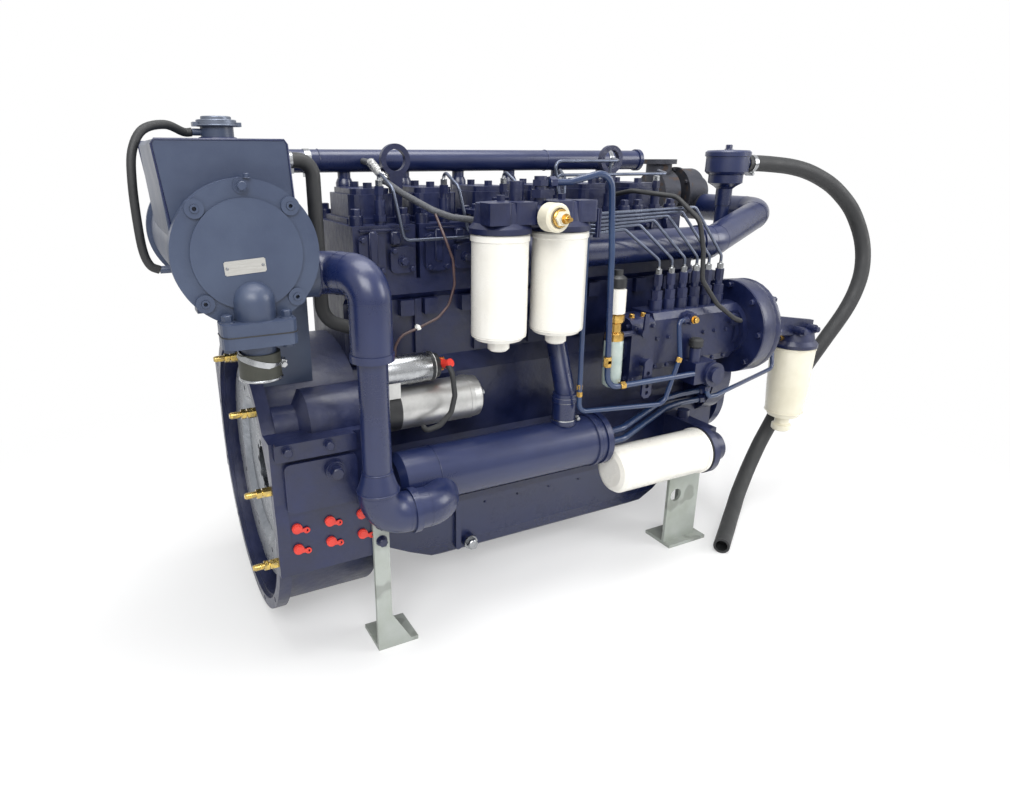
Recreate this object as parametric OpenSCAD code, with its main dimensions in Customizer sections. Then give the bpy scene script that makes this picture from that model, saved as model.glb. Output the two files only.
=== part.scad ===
// Marine diesel engine: six cylinders in line, heat exchanger over the flywheel end,
// fuel and oil service parts on the near side.
// +X runs from the flywheel housing face to the pulley end, +Y away from the service
// side, +Z up. The origin is the crankshaft axis at the flywheel housing face.

/* [Cylinders and crank] */
// Cylinder bore
bore = 105; // [100:1:108]
// Piston stroke
stroke = 130; // [120:1:134]
// Distance between neighbouring cylinders
pitch = 130; // [130:1:133]
// Centre distance of the connecting rods, which sets the deck height
rod_l = 240; // [238:1:246]
// Radius of the main journals
main_r = 40; // [36:1:42]
// Radius of the crank pins
pin_r = 33; // [30:1:34]

/* [Crankcase] */
// Height of the crank axis over the ground
ground_h = 300; // [280:1:330]
// Depth of the crankcase flange under the crank axis
pan_rail_h = 90; // [86:1:95]
// Half width of the crankcase skirt
skirt_w = 150; // [148:1:154]
// Half width of the upper block
waist_w = 105; // [100:1:108]
// Depth of the oil pan under its flange
pan_depth = 146; // [130:1:160]

/* [Flywheel housing] */
// Pilot diameter of the housing flange
pilot_d = 511.2; // [505:0.1:515]
// Bolt circle of the housing flange
flange_pcd = 530.2; // [530:0.1:532]
// Outer diameter of the housing flange
flange_d = 552; // [551:1:556]
// Length of the housing from its face to the block
housing_l = 190; // [188:1:200]
// Setback of the flywheel face from the housing face
setback = 25.4; // [20:0.2:30]
// Bolt circle of the holes in the flywheel face
coupling_pcd = 333.4; // [320:0.1:340]

/* [Gears] */
// Module of the timing gears
gear_m = 3.75; // [3.7:0.01:3.8]
// Width of the timing gears
gear_w = 20; // [18:1:24]
// Module of the starter ring gear
ring_m = 2.75; // [2.7:0.01:2.8]
// Width of the starter ring gear
ring_w = 26; // [20:1:28]

/* [Filters] */
// Diameter of the spin-on canisters
filter_d = 102; // [96:1:104]
// Length of the fuel filter canisters
fuel_filter_l = 188; // [150:1:195]
// Length of the oil filter canister
oil_filter_l = 250; // [220:1:260]

/* [Cooling] */
// Diameter of the heat exchanger drum
drum_d = 190; // [180:1:194]
// Length of the heat exchanger drum
drum_l = 420; // [380:1:440]
// Outer diameter of the elbow from the heat exchanger
elbow_d = 68; // [60:1:70]
// Outer diameter of the main coolant pipe
pipe_d = 50; // [46:1:54]
// Diameter of the oil cooler
cooler_d = 104; // [96:1:106]
// Outer diameter of the coolant rail over the heads
rail_d = 44; // [38:1:46]

/* [Fuel injection] */
// Distance between the pump outlets
outlet_pitch = 35; // [34:0.5:35.5]
// Outer diameter of the high pressure lines
line_d = 6; // [5:0.5:7]
// Outer diameter of the low pressure fuel pipes
fuel_pipe_d = 12; // [10:0.5:13]

/* [Breather hose] */
// Outer diameter of the breather hose
hose_d = 38; // [34:1:40]

/* [Hidden] */
$fn = 48;

// Shared small values
eps = 1;              // overrun of cuts
run_fit = 0.05;       // radial clearance of running fits
gap = 0.3;            // clearance between neighbouring pieces that don't run together
bead = 0.4;           // height of a weld bead on a bent pipe
bead_l = 1.6;         // length of a weld bead

// Cylinders
cylinders = 6;
block_x = housing_l;
first_x = block_x + 82;
block_l = 5 * pitch + 190;
block_x1 = block_x + block_l;
function cyl_at(i) = first_x + i * pitch;
throw_angles = [0, 120, 240, 240, 120, 0];
crank_r = stroke / 2;
piston_h = 110;
crown_h = 74;         // piston pin to crown
deck_z = crank_r + rod_l + crown_h + 1;
web_t = 18;
web_r = 100;
pin_l = 44;
bulkhead_t = 30;
shell_t = 3;          // bearing shell thickness
tunnel_r = main_r + run_fit + shell_t;
skirt_top = 40;
riser_x = first_x + 326;
riser_z = deck_z - 92;
chest_w = 135;
chest_top = 190;
deck_w = 118;
rail_w = 160;
rail_t = 14;

// Gear train: crank, camshaft and pump gears in one plane
crank_teeth = 24;
cam_teeth = 48;
crank_gear_r = gear_m * crank_teeth / 2;
cam_gear_r = gear_m * cam_teeth / 2;
cam_dir = 135;
cam_a = crank_gear_r + cam_gear_r;
cam_y = cam_a * cos(cam_dir);
cam_z = cam_a * sin(cam_dir);
pump_dir = 132;
pump_y = cam_y + 2 * cam_gear_r * cos(pump_dir);
pump_z = cam_z + 2 * cam_gear_r * sin(pump_dir);
cam_r = 17;
cam_tunnel_r = 27;
case_x = block_x1;
case_wall = 14;
lobe_x = case_x + 32;           // rear face of the pump lobe
gear_x = lobe_x + 10;
cover_x = gear_x + gear_w + 8;
cover_t = 24;
case_r = cam_gear_r + gear_m + 12;
case_near = -150;
case_far = 150;
case_top = deck_z - 40;

// Starter
ring_teeth = 168;
pinion_teeth = 12;
ring_r = ring_m * ring_teeth / 2;
pinion_r = ring_m * pinion_teeth / 2;
starter_dir = 141;
starter_a = ring_r + pinion_r;
starter_y = starter_a * cos(starter_dir);
starter_z = starter_a * sin(starter_dir);
starter_r = 42;
nose_r = 44;
pinion_w = 26;
pinion_travel = 28;
shaft_r = 8;
ring_x = setback + 16;
pinion_x = ring_x + ring_w + 4;

// Heads and covers
head_l = 122;
head_h = 100;
head_z1 = deck_z + head_h;
cover_h = 62;
pad_y = -130;          // face of the intake pads on the heads

// Ground
ground_z = -ground_h;

// Helpers for solids along the axes
module cyl_x(x0, x1, r, y = 0, z = 0)
    translate([x0, y, z]) rotate([0, 90, 0]) cylinder(r = r, h = x1 - x0);
module cyl_y(y0, y1, r, x, z)
    translate([x, y0, z]) rotate([-90, 0, 0]) cylinder(r = r, h = y1 - y0);
module cyl_z(z0, z1, r, x, y)
    translate([x, y, z0]) cylinder(r = r, h = z1 - z0);
module box(x0, x1, y0, y1, z0, z1)
    translate([x0, y0, z0]) cube([x1 - x0, y1 - y0, z1 - z0]);
// A profile drawn in Y and Z, extruded along X
module along_x(x0, x1)
    translate([x0, 0, 0]) rotate([90, 0, 90]) linear_extrude(x1 - x0) children();
// A profile drawn in X and Z, extruded along Y
module along_y(y0, y1)
    translate([0, y1, 0]) rotate([90, 0, 0]) linear_extrude(y1 - y0) children();
// A profile of radius and height turned about the X, Y or Z axis
module turned_x(x, y, z) translate([x, y, z]) rotate([0, 90, 0]) rotate_extrude() children();
module turned_y(x, y, z) translate([x, y, z]) rotate([-90, 0, 0]) rotate_extrude() children();
module turned_z(x, y, z) translate([x, y, z]) rotate_extrude() children();
// A rectangle with rounded corners of a few facets
function corner(cx, cy, r, a) =
    [for (i = [0:3]) [cx + r * cos(a + i * 30), cy + r * sin(a + i * 30)]];
module rounded(x0, y0, x1, y1, r)
    polygon([each corner(x1 - r, y1 - r, r, 0), each corner(x0 + r, y1 - r, r, 90),
             each corner(x0 + r, y0 + r, r, 180), each corner(x1 - r, y0 + r, r, 270)]);
// A ring of copies about an axis along X
module ring_x_copies(n, r, start)
    for (i = [0:n - 1])
        translate([0, r * cos(start + i * 360 / n), r * sin(start + i * 360 / n)]) children();
// A hexagon head or nut along X, Y or Z
module hex_x(x0, x1, r, y, z) translate([x0, y, z]) rotate([0, 90, 0]) cylinder(r = r, h = x1 - x0, $fn = 6);
module hex_y(y0, y1, r, x, z) translate([x, y0, z]) rotate([-90, 0, 0]) cylinder(r = r, h = y1 - y0, $fn = 6);
module hex_z(z0, z1, r, x, y) translate([x, y, z0]) cylinder(r = r, h = z1 - z0, $fn = 6);

// Pipes of straight runs and true bends, with a bead at each joint
function unit(v) = v / norm(v);
function turn_angle(a, b, c) = acos(max(-1, min(1, unit(b - a) * unit(c - b))));
function setback_of(p, i, bend) =
    i <= 0 || i >= len(p) - 1 ? 0 : bend * tan(turn_angle(p[i - 1], p[i], p[i + 1]) / 2);
module run(a, b, r) {
    d = b - a;
    l = norm(d);
    translate(a)
        rotate([0, acos(d[2] / l), atan2(d[1], d[0])])
            cylinder(r = r, h = l);
}
module bend_piece(a, b, c, bend, r) {
    u = unit(b - a);
    v = unit(c - b);
    ang = turn_angle(a, b, c);
    n = unit(v - (u * v) * u);
    w = cross(u, n);
    cen = b - bend * tan(ang / 2) * u + bend * n;
    trim = bead_l / 4 / bend * 180 / PI;
    multmatrix([[-n[0], u[0], w[0], cen[0]], [-n[1], u[1], w[1], cen[1]],
                [-n[2], u[2], w[2], cen[2]], [0, 0, 0, 1]])
        rotate([0, 0, trim]) rotate_extrude(angle = ang - 2 * trim) translate([bend, 0]) circle(r);
}
module pipe(p, bend, r) {
    for (i = [0:len(p) - 2]) {
        u = unit(p[i + 1] - p[i]);
        s0 = setback_of(p, i, bend);
        s1 = setback_of(p, i + 1, bend);
        g0 = i == 0 ? 0 : bead_l / 4;
        g1 = i == len(p) - 2 ? 0 : bead_l / 4;
        run(p[i] + (s0 + g0) * u, p[i + 1] - (s1 + g1) * u, r);
        if (i > 0)
            run(p[i] + (s0 - bead_l / 2) * u, p[i] + (s0 + bead_l / 2) * u, r + bead);
        if (i < len(p) - 2)
            run(p[i + 1] - (s1 + bead_l / 2) * u, p[i + 1] - (s1 - bead_l / 2) * u, r + bead);
    }
    for (i = [1:len(p) - 2])
        bend_piece(p[i - 1], p[i], p[i + 1], bend, r);
}
// Thin lines and hoses swept along rounded routes
function arc_points(a, b, c, bend, n) =
    let (u = unit(b - a), v = unit(c - b), ang = turn_angle(a, b, c),
         m = unit(v - (u * v) * u), cen = b - bend * tan(ang / 2) * u + bend * m)
    [for (i = [0:n]) cen - bend * cos(ang * i / n) * m + bend * sin(ang * i / n) * u];
function rounded_route(p, bend, n) =
    [p[0], for (i = [1:len(p) - 2]) each arc_points(p[i - 1], p[i], p[i + 1], bend, n),
     p[len(p) - 1]];
function tangents(p) =
    [for (i = [0:len(p) - 1]) unit(p[min(i + 1, len(p) - 1)] - p[max(i - 1, 0)])];
function side_vectors(t) =
    [for (i = 0, e = unit(cross(t[0], abs(t[0][2]) < 0.9 ? [0, 0, 1] : [1, 0, 0])); i < len(t);
          i = i + 1, e = i < len(t) ? unit(e - (e * t[i]) * t[i]) : e) e];
module sweep(path, r, sides) {
    t = tangents(path);
    e = side_vectors(t);
    n = len(path);
    points = [for (i = [0:n - 1]) for (k = [0:sides - 1])
        path[i] + r * cos(k * 360 / sides) * e[i] + r * sin(k * 360 / sides) * cross(t[i], e[i])];
    walls = [for (i = [0:n - 2]) for (k = [0:sides - 1])
        let (a = i * sides + k, b = i * sides + (k + 1) % sides, c = a + sides, d = b + sides)
        each [[a, c, b], [b, c, d]]];
    caps = [[for (k = [0:sides - 1]) k], [for (k = [sides - 1:-1:0]) (n - 1) * sides + k]];
    polyhedron(points = points, faces = concat(walls, caps));
}
module line(p, bend, r, sides = 8, steps = 3) sweep(rounded_route(p, bend, steps), r, sides);

// Involute gear outline about the origin, with a tooth centred on the angle start
pressure = 20;
backlash = 0.35;
function inv(a) = tan(a) * 180 / PI - a;
function half_tooth(r, rp, n) =
    let (rb = rp * cos(pressure))
    90 / n - backlash / 2 / rp * 180 / PI + inv(pressure) - inv(acos(min(1, rb / max(r, rb))));
function gear_points(n, m, start, heights = [-1.25, -0.5, 0.4, 0.96]) =
    let (rp = m * n / 2, radii = [for (h = heights) rp + h * m])
    [for (i = [0:n - 1]) each concat(
        [for (r = radii) let (a = start + i * 360 / n - half_tooth(r, rp, n)) r * [cos(a), sin(a)]],
        [for (k = [len(radii) - 1:-1:0])
            let (r = radii[k], a = start + i * 360 / n + half_tooth(r, rp, n))
            r * [cos(a), sin(a)]])];
function phase_at(dir, start, n) = (dir - start) / (360 / n) - floor((dir - start) / (360 / n));
cam_start = cam_dir + 180 + (phase_at(cam_dir, cam_dir, crank_teeth) + 0.5) * 360 / cam_teeth;
pump_start = pump_dir + 180 + (phase_at(pump_dir, cam_start, cam_teeth) + 0.5) * 360 / cam_teeth;
pinion_start = starter_dir + 180 + 0.5 * 360 / pinion_teeth;

// Cylinder block with its main bearing caps
module block_profile() polygon([
    [-rail_w, -pan_rail_h], [rail_w, -pan_rail_h], [rail_w, rail_t - pan_rail_h],
    [skirt_w, rail_t - pan_rail_h], [skirt_w, skirt_top], [waist_w + 8, skirt_top + 60],
    [waist_w, skirt_top + 90], [waist_w, deck_z - 40], [deck_w, deck_z - 28],
    [deck_w, deck_z], [-deck_w, deck_z], [-deck_w, deck_z - 28], [-waist_w, deck_z - 40],
    [-waist_w, chest_top + 30], [-chest_w, chest_top], [-chest_w, skirt_top + 15],
    [-skirt_w, skirt_top], [-skirt_w, rail_t - pan_rail_h], [-rail_w, rail_t - pan_rail_h]]);
cavity_w = 128;
cap_w = 70;
cap_h = 74;
liner_foot = deck_z - 255;
module block_cuts() {
    for (i = [0:cylinders - 1]) {
        cyl_z(liner_foot - eps, deck_z + eps, bore / 2, cyl_at(i), 0);
        along_x(cyl_at(i) - 50, cyl_at(i) + 50)
            polygon([[-cavity_w, -pan_rail_h - eps], [cavity_w, -pan_rail_h - eps],
                     [cavity_w, skirt_top - 10], [80, liner_foot], [-80, liner_foot + 6],
                     [-cavity_w, liner_foot + 6]]);
    }
    cyl_x(block_x - eps, block_x1 + eps, tunnel_r, 0, 0);
    box(block_x - eps, block_x1 + eps, -cap_w, cap_w, -pan_rail_h - eps, 0);
    cyl_x(block_x - eps, block_x1 + eps, cam_tunnel_r, cam_y, cam_z);
}
module bearing_cap(x)
    difference() {
        along_x(x - bulkhead_t / 2 + eps, x + bulkhead_t / 2 - eps)
            polygon([[-cap_w + gap, -run_fit], [-cap_w + gap, -45], [-45, -cap_h], [45, -cap_h],
                     [cap_w - gap, -45], [cap_w - gap, -run_fit]]);
        cyl_x(x - bulkhead_t, x + bulkhead_t, tunnel_r, 0, 0);
    }
module bearing_shell(x)
    difference() {
        cyl_x(x - bulkhead_t / 2 + 2 * eps, x + bulkhead_t / 2 - 2 * eps, tunnel_r - run_fit, 0, 0);
        cyl_x(x - bulkhead_t, x + bulkhead_t, main_r + run_fit, 0, 0);
    }
module cylinder_block() color("#1b2142") {
    difference() {
        union() {
            along_x(block_x, block_x1) block_profile();
            for (i = [0:cylinders]) {
                x = cyl_at(i) - pitch / 2;
                box(x - 7, x + 7, waist_w - eps, deck_w - 4, skirt_top + 90, deck_z - 40);
                box(x - 7, x + 7, 4 - deck_w, eps - waist_w, chest_top + 35, deck_z - 40);
            }
            for (i = [0:cylinders - 1]) for (s = [-1, 1])
                box(cyl_at(i) + s * 40 - 14, cyl_at(i) + s * 40 + 14, -deck_w - 4, -waist_w + eps,
                    deck_z - 70, deck_z - 40);
            cyl_y(-deck_w, -waist_w + eps, 28, riser_x, riser_z);
        }
        block_cuts();
    }
    for (i = [0:cylinders]) {
        bearing_cap(cyl_at(i) - pitch / 2);
        bearing_shell(cyl_at(i) - pitch / 2);
    }
}

// Crankshaft with its timing gear
module web_profile(a) rotate(a)
    polygon([for (k = [0:6]) let (t = -60 + k * 20) [42 * cos(t) + crank_r, 42 * sin(t)],
             for (k = [0:6]) let (t = 120 + k * 20) [web_r * cos(t), web_r * sin(t)]]);
nose_x = cover_x + cover_t + 75;
module crankshaft() color("#8f9399") {
    union() {
        cyl_x(setback + fly_t, block_x - 2, 60, 0, 0);
        cyl_x(block_x - 3, cyl_at(0) - pin_l / 2 - web_t + eps, main_r, 0, 0);
        cyl_x(cyl_at(cylinders - 1) + pin_l / 2 + web_t - eps, block_x1 + 2, main_r, 0, 0);
        cyl_x(block_x1 + 1, nose_x, 28, 0, 0);
        for (i = [1:cylinders - 1])
            cyl_x(cyl_at(i - 1) + pin_l / 2 + web_t - eps, cyl_at(i) - pin_l / 2 - web_t + eps,
                  main_r, 0, 0);
        for (i = [0:cylinders - 1]) {
            a = throw_angles[i] + 90;
            for (s = [-1, 1])
                along_x(cyl_at(i) + s * (pin_l + web_t) / 2 - web_t / 2,
                        cyl_at(i) + s * (pin_l + web_t) / 2 + web_t / 2)
                    web_profile(a);
            cyl_x(cyl_at(i) - pin_l / 2 - eps, cyl_at(i) + pin_l / 2 + eps, pin_r,
                  crank_r * cos(a), crank_r * sin(a));
        }
    }
    difference() {
        along_x(gear_x, gear_x + gear_w) polygon(gear_points(crank_teeth, gear_m, cam_dir));
        cyl_x(gear_x - eps, gear_x + gear_w + eps, 28 + run_fit, 0, 0);
    }
}

// Flywheel with the holes for the driven plate or coupling
fly_t = 45;
fly_r = ring_r - 1.25 * ring_m - 10;    // flywheel rim under the ring gear
ring_seat = 1;        // clearance under the ring gear, which seats against the rim's shoulder
module flywheel() color("#6f747b")
    difference() {
        turned_x(setback, 0, 0) polygon([[45, 12], [138, 12], [150, 0],
            [fly_r, 0], [fly_r, ring_x + ring_w - setback],
            [fly_r + 6, ring_x + ring_w - setback], [fly_r + 6, fly_t + 4],
            [170, fly_t + 4], [150, fly_t], [45, fly_t]]);
        ring_x_copies(8, coupling_pcd / 2, 22.5) cyl_x(setback - eps, setback + 30, 5.25);
        ring_x_copies(10, 40 + 12, 0) cyl_x(setback + 12 - eps, setback + fly_t + eps, 6.5);
    }
module ring_gear() color("#83878d")
    difference() {
        along_x(ring_x, ring_x + ring_w) polygon(gear_points(ring_teeth, ring_m, starter_dir, [-1.2, 0.65]));
        cyl_x(ring_x - eps, ring_x + ring_w + eps, fly_r + ring_seat);
    }

// Crank pulley with the torsional damper
belt_x = cover_x + cover_t + 42;
crank_pulley_r = 90;
belt_w = 12;
module groove(r) polygon([[r - 8, -belt_w / 2 + 1], [r + eps, -belt_w / 2 - 2],
                          [r + eps, belt_w / 2 + 2], [r - 8, belt_w / 2 - 1]]);
module pulley(x, y, z, r, bore_r, w)
    difference() {
        turned_x(x - w / 2, y, z) polygon([[bore_r, 0], [r, 0], [r, w], [bore_r, w]]);
        turned_x(x, y, z) groove(r);
    }
module crank_pulley() color("#15181f") {
    pulley(belt_x, 0, 0, crank_pulley_r, 28 + run_fit, 22);
    turned_x(belt_x + 11, 0, 0) polygon([[28 + run_fit, 0], [60, 0], [60, 4], [112, 4], [112, 26],
        [96, 26], [96, 18], [28 + run_fit, 18]]);
}

// Pistons with their pins, two by two
module piston(i) {
    a = throw_angles[i];
    wrist = crank_r * cos(a) + sqrt(rod_l * rod_l - pow(crank_r * sin(a), 2));
    top = wrist + crown_h;
    r = bore / 2 - run_fit;
    translate([cyl_at(i), 0, 0]) {
        difference() {
            translate([0, 0, top - piston_h]) rotate_extrude() polygon([[r - 10, 0], [r, 0],
                [r, 72], [r - 4, 72], [r - 4, 76], [r, 76], [r, 84], [r - 4, 84], [r - 4, 87],
                [r, 87], [r, 95], [r - 4, 95], [r - 4, 98], [r, 98], [r, 110], [30, 110],
                [22, 94], [0, 99], [0, 84], [r - 16, 84], [r - 10, 64]]);
            translate([0, 0, wrist]) rotate([90, 0, 90]) translate([0, 0, -bore])
                cylinder(r = 19, h = 2 * bore);
        }
        for (s = [-1, 1])
            difference() {
                cyl_x(s * 30 - 14, s * 30 + 14, 27, 0, wrist);
                cyl_x(s * 30 - 15, s * 30 + 15, 19, 0, wrist);
            }
        difference() {
            cyl_x(-42, 42, 19 - run_fit, 0, wrist);
            cyl_x(-43, 43, 9, 0, wrist);
        }
    }
}
module pistons_outer() color("#a9adb3") { piston(0); piston(5); }
module pistons_middle() color("#a9adb3") { piston(1); piston(4); }
module pistons_centre() color("#a9adb3") { piston(2); piston(3); }

// Camshaft with its gear
module camshaft() color("#8f9399") {
    union() {
        cyl_x(block_x + 6, gear_x + gear_w + 8, cam_r, cam_y, cam_z);
        for (i = [0:cylinders])
            cyl_x(cyl_at(i) - pitch / 2 - bulkhead_t / 2, cyl_at(i) - pitch / 2 + bulkhead_t / 2,
                  cam_tunnel_r - run_fit, cam_y, cam_z);
        for (i = [0:cylinders - 1]) for (s = [-1, 1]) {
            a = throw_angles[i] / 2 + s * 55;
            cyl_x(cyl_at(i) + s * 22 - 10, cyl_at(i) + s * 22 + 10, 20,
                  cam_y + 5 * cos(a), cam_z + 5 * sin(a));
        }
    }
    difference() {
        translate([0, cam_y, cam_z]) along_x(gear_x, gear_x + gear_w)
            polygon(gear_points(cam_teeth, gear_m, cam_start));
        cyl_x(gear_x - eps, gear_x + gear_w + eps, cam_r + run_fit, cam_y, cam_z);
        translate([0, cam_y, cam_z]) ring_x_copies(6, 52, 30)
            cyl_x(gear_x - eps, gear_x + gear_w + eps, 14);
    }
}
pump_shaft_r = 12;
pump_x0 = lobe_x - 285;
module pump_drive() color("#8f9399") {
    cyl_x(pump_x0 + 20, gear_x + gear_w + 8, pump_shaft_r, pump_y, pump_z);
    difference() {
        translate([0, pump_y, pump_z]) along_x(gear_x, gear_x + gear_w)
            polygon(gear_points(cam_teeth, gear_m, pump_start));
        cyl_x(gear_x - eps, gear_x + gear_w + eps, pump_shaft_r + run_fit, pump_y, pump_z);
        translate([0, pump_y, pump_z]) ring_x_copies(6, 52, 30)
            cyl_x(gear_x - eps, gear_x + gear_w + eps, 14);
    }
}

// One cylinder head a cylinder, with its raised intake face
module head(x) translate([x, 0, 0]) {
    box(-head_l / 2, head_l / 2, -deck_w, deck_w, deck_z, head_z1);
    along_y(pad_y, -deck_w + eps) rounded(-54, deck_z + 14, -4, deck_z + 84, 12);
    along_y(pad_y, -deck_w + eps) rounded(6, deck_z + 14, 54, deck_z + 62, 10);
    cyl_y(pad_y - 2, pad_y + eps, 10, 30, deck_z + 36);
    for (s = [-1, 1]) for (y = [-96, 98])
        cyl_z(head_z1 - eps, head_z1 + 16, 13, s * 46, y);
    box(-28, 28, deck_w - eps, deck_w + 14, deck_z + 20, deck_z + 84);
}
module cylinder_heads() color("#1d2447")
    for (i = [0:cylinders - 1]) head(cyl_at(i));

// Rocker covers with a lower rim and a domed top
module rocker_cover(x) translate([x, 0, head_z1]) {
    linear_extrude(10) rounded(-52, -76, 52, 82, 14);
    translate([0, 0, 10 - eps]) linear_extrude(cover_h - 20 + eps) rounded(-45, -68, 45, 74, 16);
    translate([0, 0, cover_h - 10 - eps]) linear_extrude(10 + eps) rounded(-38, -60, 38, 66, 16);
    for (y = [-36, 40]) hex_z(cover_h - eps, cover_h + 10, 9, 0, y);
}
module rocker_covers() color("#1b2142")
    for (i = [0:cylinders - 1]) rocker_cover(cyl_at(i));

// Oil pan: a pressed shell with a deep sump
pan_top = -pan_rail_h;
pan_bottom = pan_top - pan_depth;
pan_wall = 4;
module pan_side(o) polygon([[block_x + 4 + o, pan_top + eps], [block_x1 - 4 - o, pan_top + eps],
    [block_x1 - 4 - o, pan_top - 34 + o], [block_x1 - 130, pan_bottom + o],
    [block_x + 190, pan_bottom + o], [block_x + 30 + o, pan_top - 62 + o],
    [block_x + 4 + o, pan_top - 40 + o]]);
module pan_end(o) polygon([[-148 + o, pan_top + eps], [148 - o, pan_top + eps],
    [146 - o, pan_bottom + 46], [136 - o, pan_bottom + 18 + o / 2], [112, pan_bottom + o],
    [-112, pan_bottom + o], [-136 + o, pan_bottom + 18 + o / 2], [-146 + o, pan_bottom + 46]]);
module oil_pan() color("#161d3d")
    difference() {
        union() {
            intersection() {
                along_y(-skirt_w, skirt_w) pan_side(0);
                along_x(block_x, block_x1) pan_end(0);
            }
            box(block_x, block_x1, -rail_w, rail_w, pan_top - 12, pan_top);
            along_y(-skirt_w - 6, -skirt_w + 12) rounded(block_x + 206, pan_top - 118,
                block_x + 218, pan_top - 10, 5);
            cyl_y(-skirt_w - 8, -120, 16, block_x + 240, pan_bottom + 40);
        }
        intersection() {
            along_y(-skirt_w, skirt_w) pan_side(pan_wall);
            along_x(block_x, block_x1) pan_end(pan_wall);
        }
        box(block_x - eps, block_x1 + eps, -rail_w - eps, rail_w + eps, pan_top, pan_top + 2 * eps);
    }

// Flywheel housing with its side pads and starter pocket
pad_w = flange_d / 2 - 4;
housing_r = flange_d / 2 - 12;
pad_low = -pan_rail_h - 2;
pad_high = 158;
wall_x = housing_l - 22;
module flywheel_housing() color("#1a2145")
    difference() {
        union() {
            cyl_x(0, 22, flange_d / 2);
            cyl_x(20, housing_l, housing_r);
            box(0, housing_l - 6, -pad_w, -150, pad_low, pad_high);
            box(0, housing_l - 6, 150, pad_w, pad_low, pad_high);
            cyl_x(22, 80, 36, starter_y, starter_z);
            turned_x(62, starter_y, starter_z) polygon([[0, 0], [36, 0], [nose_r + 17, 16], [0, 16]]);
            cyl_x(77, housing_l, nose_r + 17, starter_y, starter_z);
            along_y(-pad_w - 12, -pad_w + eps) rounded(6, pad_high - 30, housing_l - 45, pad_high, 5);
            along_y(-pad_w - 9, -pad_w + eps) rounded(20, 30, housing_l - 45, pad_high - 38, 10);
            cyl_y(-pad_w - 18, -pad_w + eps, 17, 104, 98);
        }
        cyl_x(-eps, wall_x, pilot_d / 2 - 6);
        cyl_x(-eps, 8, pilot_d / 2);
        cyl_x(wall_x - eps, housing_l + eps, 64);
        cyl_x(32, 82, 26, starter_y, starter_z);
        cyl_x(80, wall_x + eps, nose_r + 6, starter_y, starter_z);
        cyl_x(wall_x - eps, housing_l + eps, nose_r + run_fit, starter_y, starter_z);
        ring_x_copies(12, flange_pcd / 2, 15) cyl_x(-eps, 20, 5.5);
        for (x = plug_xs) for (z = plug_zs)
            cyl_y(-pad_w - eps, -pad_w + 14, plug_r - 1, x, z);
    }
plug_r = 9;
plug_xs = [34, 92, 150];
plug_zs = [-2, -42];
module housing_plugs() color("#c8352c")
    for (x = plug_xs) for (z = plug_zs) {
        cyl_y(-pad_w, -pad_w + 12, plug_r - 1.05, x, z);
        cyl_y(-pad_w - 5, -pad_w, plug_r, x, z);
        box(x + 6, x + 16, -pad_w - 4, -pad_w - 1, z - 8, z - 2);
    }
// Zinc plated studs and nuts in the flange
module flange_studs() color("#c7a254")
    for (a = [105, 135, 165, 195]) {
        y = flange_pcd / 2 * cos(a);
        z = flange_pcd / 2 * sin(a);
        cyl_x(-40, 16, 5.2, y, z);
        hex_x(-14, 0, 9.2, y, z);
        hex_x(-24, -16, 9, y, z);
    }

// Timing case behind the gears and its cover in front
module case_outline() {
    polygon([[case_near, -pan_rail_h], [case_far, -pan_rail_h], [case_far, 60], [118, 120],
             [118, case_top], [-118, case_top], [-118, 240], [case_near, 190]]);
    translate([cam_y, cam_z]) circle(case_r);
    hull() {
        translate([pump_y, pump_z]) circle(case_r, $fn = 32);
        translate([pump_y + 60, pump_z + 20]) circle(case_r - 30, $fn = 32);
    }
}
module gear_space(x0, x1) {
    cyl_x(x0, x1, crank_gear_r + gear_m + 10);
    cyl_x(x0, x1, cam_gear_r + gear_m + 4, cam_y, cam_z);
    cyl_x(x0, x1, cam_gear_r + gear_m + 4, pump_y, pump_z);
}
module timing_case() color("#1a2145")
    difference() {
        union() {
            intersection() {
                along_x(case_x, cover_x) case_outline();
                box(case_x, cover_x, case_near, case_far, -pan_rail_h, case_top);
            }
            along_x(lobe_x, cover_x) case_outline();
        }
        gear_space(gear_x - 3, cover_x + eps);
        cyl_x(case_x - eps, gear_x, 45);
        cyl_x(case_x - eps, gear_x, cam_tunnel_r, cam_y, cam_z);
        cyl_x(lobe_x - 40, gear_x, 30, pump_y, pump_z);
    }
water_y = 30;
water_z = 250;
module timing_cover() color("#1b2348")
    difference() {
        union() {
            along_x(cover_x, cover_x + cover_t - 8) case_outline();
            cyl_x(cover_x + 10, cover_x + cover_t + 6, 62);
            cyl_x(cover_x + 10, cover_x + cover_t + 16, 58, water_y, water_z);
            cyl_x(cover_x + 10, cover_x + cover_t - 2, 40, pump_y, pump_z);
            for (a = [0:45:315])
                cyl_x(cover_x + 10, cover_x + cover_t - 2, 8, pump_y + (case_r - 10) * cos(a),
                      pump_z + (case_r - 10) * sin(a));
        }
        cyl_x(cover_x - eps, cover_x + cover_t + 10, 28 + 8);
        cyl_x(cover_x - eps, cover_x + 8, cam_r + 10, cam_y, cam_z);
        cyl_x(cover_x - eps, cover_x + 8, pump_shaft_r + 10, pump_y, pump_z);
        cyl_x(cover_x + cover_t - 14, cover_x + cover_t + 20, 44, water_y, water_z);
        cyl_x(cover_x + 2, cover_x + cover_t + 20, 9 + run_fit, water_y, water_z);
    }

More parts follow.
